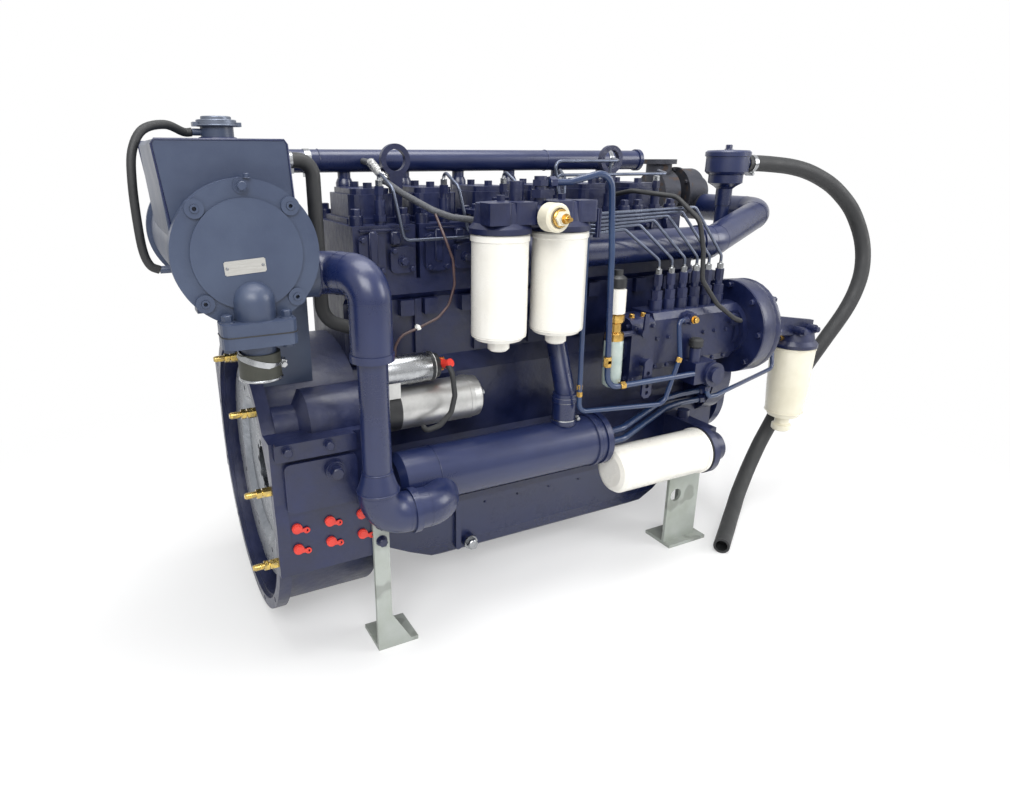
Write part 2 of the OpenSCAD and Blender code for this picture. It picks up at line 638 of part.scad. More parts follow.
// Belt drive: coolant pump, alternator and belt
water_pulley_r = 58;
alt_y = 232;
alt_z = 132;
alt_r = 60;
alt_pulley_r = 34;
module coolant_pulley() color("#15181f") {
    cyl_x(cover_x + 4, belt_x + 14, 9, water_y, water_z);
    difference() {
        pulley(belt_x, water_y, water_z, water_pulley_r, 9 + run_fit, 20);
        turned_x(belt_x - 10 - eps, water_y, water_z) polygon([[20, 0], [46, 0], [46, 10], [20, 10]]);
    }
    for (k = [0:5]) translate([0, water_y, water_z]) rotate([k * 60, 0, 0])
        box(cover_x + cover_t - 12, cover_x + cover_t + 4, -2, 2, 12, 40);
    difference() {
        cyl_x(cover_x + cover_t - 12, cover_x + cover_t - 8, 38, water_y, water_z);
        cyl_x(cover_x + cover_t - 13, cover_x + cover_t - 7, 9 + run_fit, water_y, water_z);
    }
}
alt_x0 = belt_x - 175;
module alternator() color("#8a8d92")
    difference() {
        union() {
            turned_x(alt_x0, alt_y, alt_z) polygon([[0, 0], [44, 0], [alt_r - 4, 10], [alt_r - 4, 48],
                [alt_r, 50], [alt_r, 92], [alt_r - 4, 94], [alt_r - 4, 136], [46, 146], [0, 146]]);
            along_x(alt_x0 + 30, alt_x0 + 60) rounded(case_far, alt_z - alt_r - 26, alt_y, alt_z - 34, 10);
        }
        for (k = [0:11]) translate([0, alt_y, alt_z]) rotate([k * 30, 0, 0])
            box(alt_x0 - eps, alt_x0 + 8, -5, 5, 20, 38);
        cyl_x(alt_x0 + 20, alt_x0 + 150, 9 + run_fit, alt_y, alt_z);
    }
module alternator_pulley() color("#2a2d33") {
    cyl_x(alt_x0 + 24, belt_x + 16, 9, alt_y, alt_z);
    pulley(belt_x, alt_y, alt_z, alt_pulley_r, 9 + run_fit, 20);
    difference() {
        cyl_x(belt_x - 22, belt_x - 12, 40, alt_y, alt_z);
        cyl_x(belt_x - 23, belt_x - 11, 9 + run_fit, alt_y, alt_z);
        for (k = [0:7]) translate([0, alt_y, alt_z]) rotate([k * 45, 0, 0])
            box(belt_x - 23, belt_x - 11, -4, 4, 18, 32);
    }
}
belt_t = 7;
module belt_loop(o) hull() {
    circle(crank_pulley_r - 7 + o, $fn = 96);
    translate([water_y, water_z]) circle(water_pulley_r - 7 + o, $fn = 96);
    translate([alt_y, alt_z]) circle(alt_pulley_r - 7 + o, $fn = 96);
}
module drive_belt() color("#17181a")
    along_x(belt_x - belt_w / 2 + 2.5, belt_x + belt_w / 2 - 2.5) difference() {
        belt_loop(belt_t);
        belt_loop(0);
    }

// Intake manifold on the near side and the pipe round the front
intake_y = -167;
intake_z = deck_z + 38;
intake_r = 34;
intake_x1 = block_x1 - 30;
module intake_manifold() color("#222a4d")
    union() {
        cyl_x(cyl_at(2) - 52, intake_x1, intake_r, intake_y, intake_z);
        cyl_x(intake_x1 - 12, intake_x1, intake_r + 3, intake_y, intake_z);
        cyl_x(cyl_at(2) - 58, cyl_at(2) - 50, intake_r + 2, intake_y, intake_z);
        for (i = [2:cylinders - 1])
            box(cyl_at(i) - 50, cyl_at(i) - 8, intake_y + 10, pad_y, deck_z + 20, deck_z + 56);
    }
elbow_x = block_x1 + 270;
elbow_z = intake_z + 50;
turbo_y = 190;
turbo_z = 505;
turb_x = block_x1 + 160;
comp_x = elbow_x - 26;
comp_r = 62;
turbo_neck = turbo_y - comp_r - 4;
exh_y = turbo_y + 6;   // axis of the exhaust neck
module intake_elbow() color("#242c50")
    union() {
        pipe([[intake_x1, intake_y, intake_z], [intake_x1 + 40, intake_y, intake_z],
              [elbow_x, -64, elbow_z], [elbow_x, turbo_neck, elbow_z]], 70, intake_r);
        cyl_x(intake_x1, intake_x1 + 14, intake_r + 3, intake_y, intake_z);
    }

// Water cooled exhaust manifold on the far side
exhaust_y = 190;
exhaust_z = deck_z + 50;
exhaust_r = 42;
module exhaust_manifold() color("#1a2145")
    union() {
        cyl_x(cyl_at(0) - 50, turb_x - 75, exhaust_r, exhaust_y, exhaust_z);
        for (i = [0:cylinders - 1]) {
            box(cyl_at(i) - 28, cyl_at(i) + 28, deck_w + 14, exhaust_y - 20, deck_z + 22,
                deck_z + 78);
            cyl_x(cyl_at(i) + 56, cyl_at(i) + 70, exhaust_r + 4, exhaust_y, exhaust_z);
        }
        cyl_x(cyl_at(0) - 58, cyl_at(0) - 50, exhaust_r - 4, exhaust_y, exhaust_z);
        box(turb_x - 87, turb_x - 75, exhaust_y - 44, exhaust_y + 44, exhaust_z - 44,
            exhaust_z + 48);
    }

// Turbocharger: turbine, bearing and compressor housings, and its rotor
volute_r = 58;
wheel_r = 36;
comp_w = 52;
module turbo_housing() color("#3a3f52")
    difference() {
        union() {
            cyl_x(turb_x - 27, turb_x + 27, volute_r, turbo_y, turbo_z);
            cyl_x(turb_x + 20, comp_x - 20, 34, turbo_y, turbo_z);
            cyl_x(comp_x - comp_w / 2, comp_x + comp_w / 2, comp_r, turbo_y, turbo_z);
            cyl_x(comp_x + 20, comp_x + comp_w / 2 + 34, 40, turbo_y, turbo_z);
            cyl_x(comp_x - 32, comp_x - 24, 66, turbo_y, turbo_z);
            box(turb_x - 75, turb_x - 63, turbo_y - 44, turbo_y + 44, exhaust_z - 44, exhaust_z + 48);
            box(turb_x - 65, turb_x + 10, turbo_y - 30, turbo_y + 30, exhaust_z - 26,
                exhaust_z + 40);
            cyl_z(turbo_z, turbo_z + 82, 34, turb_x, exh_y);
            cyl_z(turbo_z + 74, turbo_z + 86, 46, turb_x, exh_y);
            cyl_y(turbo_neck, turbo_y, intake_r + 1, elbow_x, elbow_z);
        }
        cyl_x(turb_x - 14, turb_x + 22, wheel_r + 3, turbo_y, turbo_z);
        cyl_x(turb_x + 10, comp_x - 10, 7 + run_fit, turbo_y, turbo_z);
        cyl_x(comp_x - 12, comp_x + 30, wheel_r + 3, turbo_y, turbo_z);
        cyl_x(comp_x + 10, comp_x + comp_w / 2 + 35, 30, turbo_y, turbo_z);
        cyl_z(turbo_z + 20, turbo_z + 47, 24, turb_x, exh_y);
        cyl_z(turbo_z + 46, turbo_z + 90, 27, turb_x, exh_y);
        ring_z_holes(4, 39, turb_x, exh_y, turbo_z + 70, turbo_z + 90, 4);
    }
module ring_z_holes(n, r, x, y, z0, z1, hole_r)
    for (i = [0:n - 1])
        cyl_z(z0, z1, hole_r, x + r * cos(45 + i * 360 / n), y + r * sin(45 + i * 360 / n));
module wheel(x0, x1, n, twist)
    for (k = [0:n - 1]) translate([0, turbo_y, turbo_z]) rotate([k * 360 / n, 0, 0])
        translate([(x0 + x1) / 2, 0, wheel_r / 2 + 4]) rotate([0, 0, twist])
            cube([x1 - x0, 3, wheel_r - 12], center = true);
module turbo_rotor() color("#b9bcc1")
    union() {
        cyl_x(turb_x - 8, comp_x + 22, 7, turbo_y, turbo_z);
        cyl_x(comp_x - 8, comp_x - 4, wheel_r, turbo_y, turbo_z);
        cyl_x(comp_x - 5, comp_x + 16, 12, turbo_y, turbo_z);
        wheel(comp_x - 5, comp_x + 14, 10, 12);
        cyl_x(turb_x + 12, turb_x + 16, wheel_r, turbo_y, turbo_z);
        cyl_x(turb_x - 6, turb_x + 13, 12, turbo_y, turbo_z);
        wheel(turb_x - 6, turb_x + 13, 10, -12);
    }

// Heat exchanger drum over the flywheel end, its near cap and water outlet
drum_x = -8;
drum_z = 467;
drum_y0 = -290;
drum_r = drum_d / 2;
cap_r = drum_r + 9;
cap_t = 18;
cap_side = drum_x + 112;
outlet_x = -6;
outlet_y = drum_y0 - 8;
outlet_r = 30;
elbow_r = elbow_d / 2;
stub_y = drum_y0 + 45;
pipe_z = drum_z - 43;
outlet_top = drum_z - 92;
saddle_top = drum_z - 60;
module heat_exchanger() color("#20284c")
    difference() {
        union() {
            cyl_y(drum_y0, drum_y0 + drum_l, drum_r, drum_x, drum_z);
            cyl_y(drum_y0, drum_y0 + 14, cap_r - 1, drum_x, drum_z);
            cyl_y(drum_y0 + drum_l - 14, drum_y0 + drum_l, cap_r - 1, drum_x, drum_z);
            cyl_y(drum_y0 + drum_l, drum_y0 + drum_l + 14, cap_r - 6, drum_x, drum_z);
            cyl_x(drum_x + 50, cap_side, elbow_r + 3, stub_y, pipe_z);
            cyl_x(drum_x - 112, drum_x - 80, 5.5, drum_y0 + 65, drum_z - 25);
            box(drum_x + 60, drum_x + 142, 62, 124, drum_z - 40, drum_z + 33);
            for (y = [-150, 60]) {
                box(24, 112, y, y + 34, 200, saddle_top);
                box(drum_x - 60, 30, y, y + 34, drum_z - 110, saddle_top);
            }
        }
        cyl_x(-eps, housing_l + eps, housing_r + gap);
        cyl_x(-20, 22 + gap, flange_d / 2 + gap);
    }
screw_r = cap_r - 12;  // circle of the four cap screws
hump_z = drum_z - 67;
plate_t = 18;          // thickness of the outlet's flanges
neck_end = outlet_top - 74;
module exchanger_cap() color("#242c52")
    difference() {
        union() {
            cyl_y(drum_y0 - cap_t, drum_y0, cap_r, drum_x, drum_z);
            cyl_y(drum_y0 - cap_t - 5, drum_y0 - cap_t + eps, cap_r - 26, drum_x, drum_z);
            for (a = [45:90:315])
                cyl_y(drum_y0 - cap_t - 4, drum_y0, 13, drum_x + screw_r * cos(a),
                      drum_z + screw_r * sin(a));
            cyl_y(drum_y0 - cap_t - 2, drum_y0, 11, drum_x, drum_z + cap_r - 10);
            cyl_z(outlet_top - 2, hump_z, outlet_r, outlet_x, outlet_y - 10);
            translate([outlet_x, outlet_y - 10, hump_z]) sphere(outlet_r);
            along_z_flange(outlet_top - plate_t, outlet_top);
        }
        for (a = [45:90:315])
            cyl_y(drum_y0 - cap_t - 5, drum_y0 - cap_t + 4, 6, drum_x + screw_r * cos(a),
                  drum_z + screw_r * sin(a));
        cyl_z(outlet_top - plate_t - eps, hump_z - 3, outlet_r - 8, outlet_x, outlet_y - 10);
        box(drum_x - cap_r, drum_x + cap_r, drum_y0, drum_y0 + 40, drum_z - cap_r - 20,
            drum_z + cap_r + 20);
    }
module along_z_flange(z0, z1)
    translate([outlet_x, outlet_y - 10, z0]) linear_extrude(z1 - z0) rounded(-54, -38, 54, 16, 15);
module outlet_flange() color("#242c52")
    difference() {
        union() {
            along_z_flange(outlet_top - 2 * plate_t, outlet_top - plate_t);
            cyl_z(neck_end, outlet_top - plate_t - eps, 26, outlet_x, outlet_y - 10);
            for (x = [-42, 42])
                hex_z(outlet_top - 2 * plate_t - 8, outlet_top - 2 * plate_t, 9, outlet_x + x,
                      outlet_y - 21);
        }
        cyl_z(neck_end - eps, outlet_top, 21, outlet_x, outlet_y - 10);
    }
module outlet_hose() color("#17181a")
    difference() {
        cyl_z(neck_end - 16, neck_end + 24, 31, outlet_x, outlet_y - 10);
        cyl_z(neck_end - 17, neck_end + eps, 25.5, outlet_x, outlet_y - 10);
        cyl_z(neck_end, neck_end + 25, 26 + gap, outlet_x, outlet_y - 10);
    }

// Expansion tank straddling the drum, its cap and its hoses
tank_y0 = -276;
tank_y1 = -30;
tank_top = 621;
tank_x0 = -113;
tank_x1 = 68;
neck_x = -10;
neck_y = -170;
cap_z = tank_top + 20;
module expansion_tank() color("#20284c")
    difference() {
        union() {
            along_y(tank_y0, tank_y1) polygon([[tank_x0 + 4, tank_top], [tank_x0, tank_top - 6],
                [tank_x0 + 8, drum_z + 30], [tank_x0 + 20, drum_z], [tank_x1 + 6, drum_z + 30],
                [tank_x1, tank_top - 6], [tank_x1 - 4, tank_top]]);
            cyl_z(tank_top - eps, cap_z, 24, neck_x, neck_y);
            cyl_z(tank_top - eps, tank_top + 3, 40, neck_x, neck_y);
            cyl_x(tank_x1 - 4, tank_x1 + 14, 12, neck_y, tank_top - 28);
            cyl_x(neck_x - 36, neck_x - 20, 5, neck_y, tank_top + 12);
        }
        cyl_y(tank_y0 - eps, tank_y1 + eps, drum_r + gap, drum_x, drum_z);
        box(tank_x0 - eps, drum_x, tank_y0 - eps, tank_y1 + eps, drum_z - 30, drum_z + 8);
        cyl_z(tank_top - 30, cap_z + eps, 19, neck_x, neck_y);
    }
module tank_cap() color("#2a2f45")
    union() {
        cyl_z(cap_z, cap_z + 8, 29, neck_x, neck_y);
        cyl_z(cap_z + 7, cap_z + 13, 22, neck_x, neck_y);
        cyl_z(cap_z - 18, cap_z + eps, 19 - gap, neck_x, neck_y);
        for (s = [-1, 1])
            box(neck_x + s * 30 - 5, neck_x + s * 30 + 5, neck_y - 9, neck_y + 9,
                cap_z, cap_z + 6);
    }
overflow_route = [[-46.3, -170, 633], [-58, -170, 633], [-84, -192, 642], [-118, -214, 636],
    [-134, -224, 604], [-138, -228, 575], [-140, -230, 541], [-140, -226, 442],
    [-120.3, -225, 442]];
vent_route = [[82.3, -170, 593], [132, -170, 593], [132, -170, 330], [240, -170, 290],
    [240, -105.3, 290]];
// Leads clipped along the engine: the loom from the heads to the filters, three to the
// starter, and the pump's cable
loom_route = [[303, 70, 590], [303, 40, 588], [310, -30, 554], [322, -84, 534], [336, -124, 520],
    [352, -160, 506], [385, -166, 494], [440, -166, 486], [455, -166, 430], [473.7, -166, 430]];
sense_route = [[352, -167, 500], [349, -215, 460], [363, -215, 424], [366, -215, 380],
    [354, -215, 344], [332, -214, 322], [296, -212, 308], [262, -208, 296], [250, -206, 275],
    [250, -206, 259.1]];
starter_lead = [[338, -220.6, 235.8], [338, -258, 240], [342, -262, 187], [334, -262, 155],
    [313, -258, 132], [290, -248, 122], [290, -235, 126.5]];
pump_cable = [[820, -68.6, 520], [820, -82, 520], [830, -130, 530], [888, -200, 520],
    [903, -258, 476], [918, -262, 415], [922, -264, 353], [965, -271, 300], [1005, -286, 268],
    [1028, -290, 259.3], [1028, -271.2, 259.3]];
module overflow_hose() color("#17181a") {
    line(overflow_route, 16, 6, 8, 3);
    line(vent_route, 40, 12, 10, 4);
    line(loom_route, 20, 6, 8, 2);
    line(sense_route, 12, 2.5, 6, 2);
    line(starter_lead, 14, 5, 8, 2);
    line(pump_cable, 12, 5, 8, 2);
}

// Coolant rail over the heads with a riser from each head
rail_y = 93;
rail_z = deck_z + 210;
rail_r = rail_d / 2;
module coolant_rail() color("#222a4e")
    union() {
        pipe([[cyl_at(5) + 98, rail_y, rail_z], [drum_x + 112, rail_y, rail_z],
              [drum_x + 112, rail_y, drum_z + 33]], 48, rail_r);
        cyl_x(cyl_at(5) + 94, cyl_at(5) + 104, rail_r + 3, rail_y, rail_z);
        for (i = [0:cylinders - 1]) {
            cyl_z(head_z1, rail_z - 10, 13, cyl_at(i), rail_y + 9);
            cyl_z(head_z1, head_z1 + 8, 18, cyl_at(i), rail_y + 9);
        }
    }

// Coolant pipe from the exchanger down to the oil cooler
pipe_r = pipe_d / 2;
pipe_y = drum_y0 - 32;
drop_x = 166;
low_z = 10;
low_r = pipe_r + 11;    // lower elbow, wider than the drop pipe
collar_z = 300;
cooler_x0 = 222;
cooler_x1 = 690;
cooler_y = -245;
cooler_z = 34;
cooler_r = cooler_d / 2;
module coolant_pipe() color("#222a4e")
    difference() {
        union() {
            pipe([[cap_side, stub_y, pipe_z], [cap_side + 25, stub_y, pipe_z],
                  [drop_x, pipe_y, pipe_z], [drop_x, pipe_y, collar_z]], 38, elbow_r);
            cyl_z(collar_z - 8, collar_z + 4, elbow_r + 2, drop_x, pipe_y);
            cyl_z(low_z + 54, collar_z, pipe_r, drop_x, pipe_y);
            turned_z(drop_x, pipe_y, low_z + 54)
                polygon([[0, 0], [low_r, 0], [pipe_r, 34], [0, 34]]);
            pipe([[drop_x, pipe_y, low_z + 56], [drop_x, pipe_y, low_z],
                  [drop_x + 62, pipe_y, low_z]], 48, low_r);
            cyl_x(drop_x + 56, drop_x + 68, low_r + 4, pipe_y, low_z);
            pipe([[drop_x + 63, pipe_y, low_z], [drop_x + 130, pipe_y, low_z],
                  [drop_x + 130, cooler_y - 10, low_z]], 42, low_r);
        }
        cyl_x(cooler_x0 - eps, cooler_x1, cooler_r + gap, cooler_y, cooler_z);
    }

// Oil cooler along the crankcase, and the riser from it to the block
module oil_cooler() color("#1d2549")
    difference() {
        union() {
            turned_x(cooler_x0, cooler_y, cooler_z) polygon([[0, 0], [cooler_r - 12, 0],
                [cooler_r, 12], [cooler_r, cooler_x1 - cooler_x0], [0, cooler_x1 - cooler_x0]]);
            cyl_x(cooler_x1 - 34, cooler_x1 - 26, cooler_r + 3, cooler_y, cooler_z);
            cyl_x(cooler_x1 - 12, cooler_x1, cooler_r + 3, cooler_y, cooler_z);
            for (x = [300, 570])
                box(x, x + 44, cooler_y + 30, -skirt_w, cooler_z - 30, cooler_z - 2);
        }
    }
module cooler_riser() color("#222a4e")
    difference() {
        union() {
            pipe([[riser_x, cooler_y, cooler_z], [riser_x, cooler_y, 150],
                  [riser_x, -190, riser_z], [riser_x, -deck_w, riser_z]], 34, 20);
            cyl_y(-deck_w - 8, -deck_w, 21, riser_x, riser_z);
            turned_z(riser_x, cooler_y, cooler_z + 36)
                polygon([[0, 0], [24, 0], [24, 12], [26, 14], [26, 22], [24, 24], [24, 60],
                         [26, 62], [26, 70], [24, 72], [24, 78], [0, 78]]);
        }
        cyl_x(cooler_x0, cooler_x1, cooler_r + gap, cooler_y, cooler_z);
    }

// Oil filter lying along the crankcase, on its head
filter_r = filter_d / 2;
oil_y = -279;
oil_z = -33;
oil_x0 = 700;
oil_x1 = oil_x0 + oil_filter_l;
module oil_filter() color("#eceae4")
    turned_x(oil_x0, oil_y, oil_z) polygon([[0, 0], [filter_r - 16, 0], [filter_r - 6, 4],
        [filter_r - 1, 12], [filter_r - 1, oil_filter_l - 14], [filter_r + 1, oil_filter_l - 13],
        [filter_r + 1, oil_filter_l - 5], [filter_r - 4, oil_filter_l], [0, oil_filter_l]]);
module oil_filter_head() color("#1d2549")
    union() {
        cyl_x(oil_x1, oil_x1 + 16, filter_r + 3, oil_y, oil_z);
        cyl_x(oil_x1 + 14, oil_x1 + 52, 34, oil_y, oil_z);
        box(oil_x1 + 14, oil_x1 + 52, oil_y, -skirt_w, -54, 12);
        cyl_z(-36, 30, 14, oil_x1 + 34, -190);
    }

// Two spin-on fuel filters under one head
fuel_y = -279;
fuel_xs = [422, 546];
fuel_top = deck_z + 95;
module fuel_filter(x)
    turned_z(x, fuel_y, fuel_top) polygon([[0, 0], [filter_r - 2, 0], [filter_r + 1, -4],
        [filter_r + 1, -12], [filter_r - 1, -14], [filter_r - 1, 12 - fuel_filter_l],
        [filter_r - 8, 2 - fuel_filter_l], [20, -fuel_filter_l], [20, -fuel_filter_l - 16],
        [16, -fuel_filter_l - 20], [0, -fuel_filter_l - 20]]);
module fuel_filters() color("#eceae4")
    for (x = fuel_xs) fuel_filter(x);
valve_x = (fuel_xs[0] + fuel_xs[1]) / 2;
valve_z = fuel_top + 28;
bracket_x0 = fuel_xs[0] + 14;
bracket_x1 = fuel_xs[1] - 46;
module fuel_filter_head() color("#1d2549")
    union() {
        for (x = fuel_xs) {
            turned_z(x, fuel_y, fuel_top) polygon([[0, 0], [filter_r + 3, 0], [filter_r + 3, 9],
                [filter_r - 4, 18], [filter_r - 8, 50], [0, 54]]);
            translate([x, fuel_y, fuel_top + 16]) linear_extrude(36) rounded(-46, -48, -4, -6, 6);
            translate([x, fuel_y, fuel_top + 16]) linear_extrude(36) rounded(4, -48, 46, -6, 6);
            hex_z(fuel_top + 50, fuel_top + 62, 8, x, fuel_y);
        }
        box(fuel_xs[0], fuel_xs[1], fuel_y - 20, fuel_y + 50, fuel_top + 8, fuel_top + 46);
        box(bracket_x0, bracket_x1, fuel_y + 48, fuel_y + 56, fuel_top + 4, fuel_top + 55);
        box(bracket_x0, bracket_x1, fuel_y + 50, -84, head_z1 + 16, head_z1 + 24);
        cyl_y(fuel_y - 50, fuel_y, 17, valve_x, valve_z);
        cyl_z(fuel_top + 40, fuel_top + 74, 11, valve_x + 14, fuel_y - 4);
        hex_z(fuel_top + 56, fuel_top + 70, 17, valve_x + 14, fuel_y - 4);
        hex_z(fuel_top + 76, fuel_top + 86, 15, valve_x + 14, fuel_y - 4);
        cyl_z(fuel_top + 70, fuel_top + 92, 11, valve_x + 14, fuel_y - 4);
        cyl_z(fuel_top + 40, fuel_top + 84, 13, valve_x - 24, fuel_y + 12);
    }
// Fuel valve on the front of the filter head
module fuel_valve() color("#e6e2cf") {
    difference() {
        turned_y(valve_x, fuel_y - 86, valve_z) polygon([[0, 6], [17, 6], [17, 0], [21, 0],
            [24, 4], [24, 30], [20, 36], [0, 36]]);
        cyl_y(fuel_y - 87, fuel_y - 72, 9 + run_fit, valve_x, valve_z);
    }
    cyl_y(fuel_y - 104, fuel_y - 72, 9, valve_x, valve_z);
    hex_y(fuel_y - 98, fuel_y - 88, 13, valve_x, valve_z);
}

// Injection pump with its governor, feed pump and delivery holders
outlet_x0 = lobe_x - 229;
outlet_y_off = -12;
pump_half = 43;
pump_top = pump_z + 62;
pump_low = pump_z - 64;
outlet_top_z = pump_z + 138;
gov_x0 = pump_x0 - 32;
gov_x1 = pump_x0 + 30;
feed_x = lobe_x - 111;
feed_z = pump_z - 78;
near_y = pump_y - pump_half;
lever_x = gov_x0 + 34;
lever_z = pump_z - 36;
stop_x = gov_x0 + 20;
stop_z = pump_z + 30;
module injection_pump() color("#2b3156")
    difference() {
        union() {
            along_x(gov_x1 - eps, lobe_x - 14) translate([pump_y, pump_z])
                polygon([[-pump_half, -46], [-30, -64], [30, -64], [pump_half, -46],
                         [pump_half, 20], [32, 34], [32, 62], [-36, 62], [-pump_half, 48]]);
            along_x(gov_x0, gov_x1) translate([pump_y, pump_z])
                rounded(-pump_half - 4, -86, pump_half, 56, 20);
            cyl_x(gov_x0 - 8, gov_x0 + eps, 36, pump_y, pump_z - 8);
            cyl_x(lobe_x - 26, lobe_x - 12, 50, pump_y, pump_z);
            cyl_x(lobe_x - 14, lobe_x, 62, pump_y, pump_z);
            for (k = [0:5]) {
                x = outlet_x0 + k * outlet_pitch;
                cyl_z(pump_top - eps, pump_top + 22, 13, x, pump_y + outlet_y_off);
                hex_z(pump_top + 22, pump_top + 42, 12, x, pump_y + outlet_y_off);
                cyl_z(pump_top + 41, pump_top + 56, 8, x, pump_y + outlet_y_off);
                hex_z(pump_top + 52, outlet_top_z, 9.5, x, pump_y + outlet_y_off);
                box(x + 12, x + 22, pump_y - 4, pump_y + 26, pump_top - eps, pump_top + 14);
            }
            box(outlet_x0 + 20, outlet_x0 + 150, pump_y + 30, -chest_w, pump_z - 58,
                pump_z - 40);
            cyl_y(near_y - 44, near_y + eps, 27, feed_x, feed_z);
            cyl_y(near_y - 52, near_y - 40, 17, feed_x, feed_z);
            box(feed_x - 52, feed_x + 6, near_y - 36, near_y + 14, feed_z - 18, feed_z + 30);
            cyl_z(feed_z + 28, feed_z + 60, 12, feed_x - 40, near_y - 18);
            cyl_y(near_y - 10, near_y + eps, 15, outlet_x0 + 60, pump_z + 46);
            hex_y(near_y - 22, near_y - 8, 13, outlet_x0 + 60, pump_z + 46);
            cyl_y(near_y - 12, near_y + 12, 13, lobe_x - 34, pump_z + 30);
            cyl_y(near_y - 6 - 12, near_y, 9, lever_x, lever_z);
            cyl_y(near_y - 4 - 14, near_y, 8, stop_x, stop_z);
        }
        cyl_x(gov_x0 + 20, lobe_x + eps, pump_shaft_r + run_fit, pump_y, pump_z);
        cyl_y(near_y - 20, near_y + 10, 4 + run_fit, lever_x, lever_z);
        cyl_y(near_y - 20, near_y + 10, 4 + run_fit, stop_x, stop_z);
        cyl_z(feed_z + 10, feed_z + 61, 6 + run_fit, feed_x - 40, near_y - 18);
    }
// Speed lever with its row of holes, hanging from its shaft
lever_y = near_y - 19;
module speed_lever() color("#5b6076")
    difference() {
        union() {
            cyl_y(lever_y - 5, near_y + 8, 4, lever_x, lever_z);
            cyl_y(lever_y - 5, lever_y, 11, lever_x, lever_z);
            along_y(lever_y - 5, lever_y) polygon([[lever_x - 10, lever_z], [lever_x + 10, lever_z],
                [lever_x + 13, lever_z - 66], [lever_x + 6, lever_z - 74],
                [lever_x - 6, lever_z - 74], [lever_x - 13, lever_z - 66]]);
        }
        for (k = [0:3])
            cyl_y(lever_y - 6, lever_y + eps, 4.5, lever_x, lever_z - 20 - k * 14);
    }
module stop_lever() color("#5b6076")
    union() {
        cyl_y(lever_y - 5, near_y + 8, 4, stop_x, stop_z);
        cyl_y(lever_y - 5, lever_y, 10, stop_x, stop_z);
        along_y(lever_y - 5, lever_y) polygon([[stop_x - 7, stop_z], [stop_x - 5, stop_z + 40],
            [stop_x + 5, stop_z + 40], [stop_x + 7, stop_z]]);
    }
module primer_plunger() color("#2a2c31")
    union() {
        cyl_z(feed_z + 14, feed_z + 66, 6, feed_x - 40, near_y - 18);
        turned_z(feed_x - 40, near_y - 18, feed_z + 61)
            polygon([[0, 0], [12, 0], [15, 4], [15, 16], [11, 20], [0, 20]]);
    }

// High pressure lines from the pump through the comb clamp to the injectors
line_r = line_d / 2;
comb_x = 685;
comb_y = -205;
comb_z = 455;
comb_step = 7.5;
injector_y = -98;
injector_top = head_z1 + 68;
bend_x = 746;
bend_step = 36.8;
function rise_z(i) = i == 4 ? 590 : 564;
function line_route(i) =
    let (x = outlet_x0 + i * outlet_pitch, z = comb_z + comb_step * i, xi = cyl_at(i),
         start = [[x, pump_y + outlet_y_off, outlet_top_z],
                  [x, pump_y + outlet_y_off, outlet_top_z + 28],
                  [bend_x + bend_step * i, comb_y - 10, z + 6], [comb_x, comb_y, z],
                  [comb_x - 45, -150, z]])
    i < 3 ? concat(start, [[xi + 26, -150, z], [xi + 8, -144, injector_top - 2],
                           [xi, injector_y, injector_top + 26], [xi, injector_y, injector_top]])
    : i == 3 ? concat(start, [[comb_x - 40, -146, injector_top + 10],
                              [xi, injector_y, injector_top + 28], [xi, injector_y, injector_top]])
    : concat(start, [[comb_x - 70, -150, rise_z(i)], [xi - 20, -150, rise_z(i)],
                     [xi, injector_y, rise_z(i) + 6], [xi, injector_y, injector_top]]);
module injection_lines() color("#4a5066")
    for (i = [0:cylinders - 1]) line(line_route(i), 12, line_r, 8, 2);
module injectors() color("#70757e") {
    for (i = [0:cylinders - 1]) {
        x = cyl_at(i);
        cyl_z(head_z1, head_z1 + 44, 10, x, injector_y);
        hex_z(head_z1 + 6, head_z1 + 18, 13, x, injector_y);
        hex_z(head_z1 + 52, injector_top, 9, x, injector_y);
        cyl_z(head_z1 + 43, head_z1 + 53, 7, x, injector_y);
    }
}

// Low pressure fuel and oil pipes with their banjo bolts
fuel_r = fuel_pipe_d / 2;
main_fuel_route = [[513.3, -283, 556], [560, -283, 556], [645, -290, 576], [657, -290, 430],
    [668, -290, 160], [feed_x - 52, -290, 158]];
return_route = [[606, -279, 474], [606, -284, 118], [822, -290, 102], [856, -290, 200],
    [856, -276, 275], [879.5, -276, 275]];
suction_route = [[1306.7, -178, 165], [1272, -178, 165], [1252, -205, 100], [980, -286, 96],
    [feed_x, -286, 96], [feed_x, -286, feed_z - 28]];
oil_route_a = [[690.3, -262, 48], [740, -262, 52], [930, -180, 62], [980, -170, 62],
    [lobe_x - gap, -170, 62]];
oil_route_b = [[690.3, -268, 28], [740, -268, 30], [930, -184, 40], [980, -172, 40],
    [lobe_x - gap, -172, 40]];
module fuel_pipes() color("#2f3d5e") {
    line(main_fuel_route, 26, fuel_r, 10, 3);
    line(return_route, 18, 5, 8, 3);
    line(suction_route, 18, 5, 8, 3);
    line(oil_route_a, 40, 7, 8, 3);
    line(oil_route_b, 40, 7, 8, 3);
}

// Stop solenoid standing over a sediment bowl, beside the governor
solenoid_x = gov_x0 - 45;
solenoid_y = -262;
module stop_solenoid() color("#d9d8cf")
    union() {
        turned_z(solenoid_x, solenoid_y, 152) polygon([[0, 0], [10, 0], [16, 6], [16, 96],
            [19, 98], [19, 112], [13, 116], [13, 132], [18, 136], [18, 150], [14, 152],
            [14, 214], [16, 216], [16, 222], [9, 228], [9, 238], [0, 238]]);
        box(solenoid_x, gov_x0, solenoid_y - 6, solenoid_y + 6, 252, 264);
    }

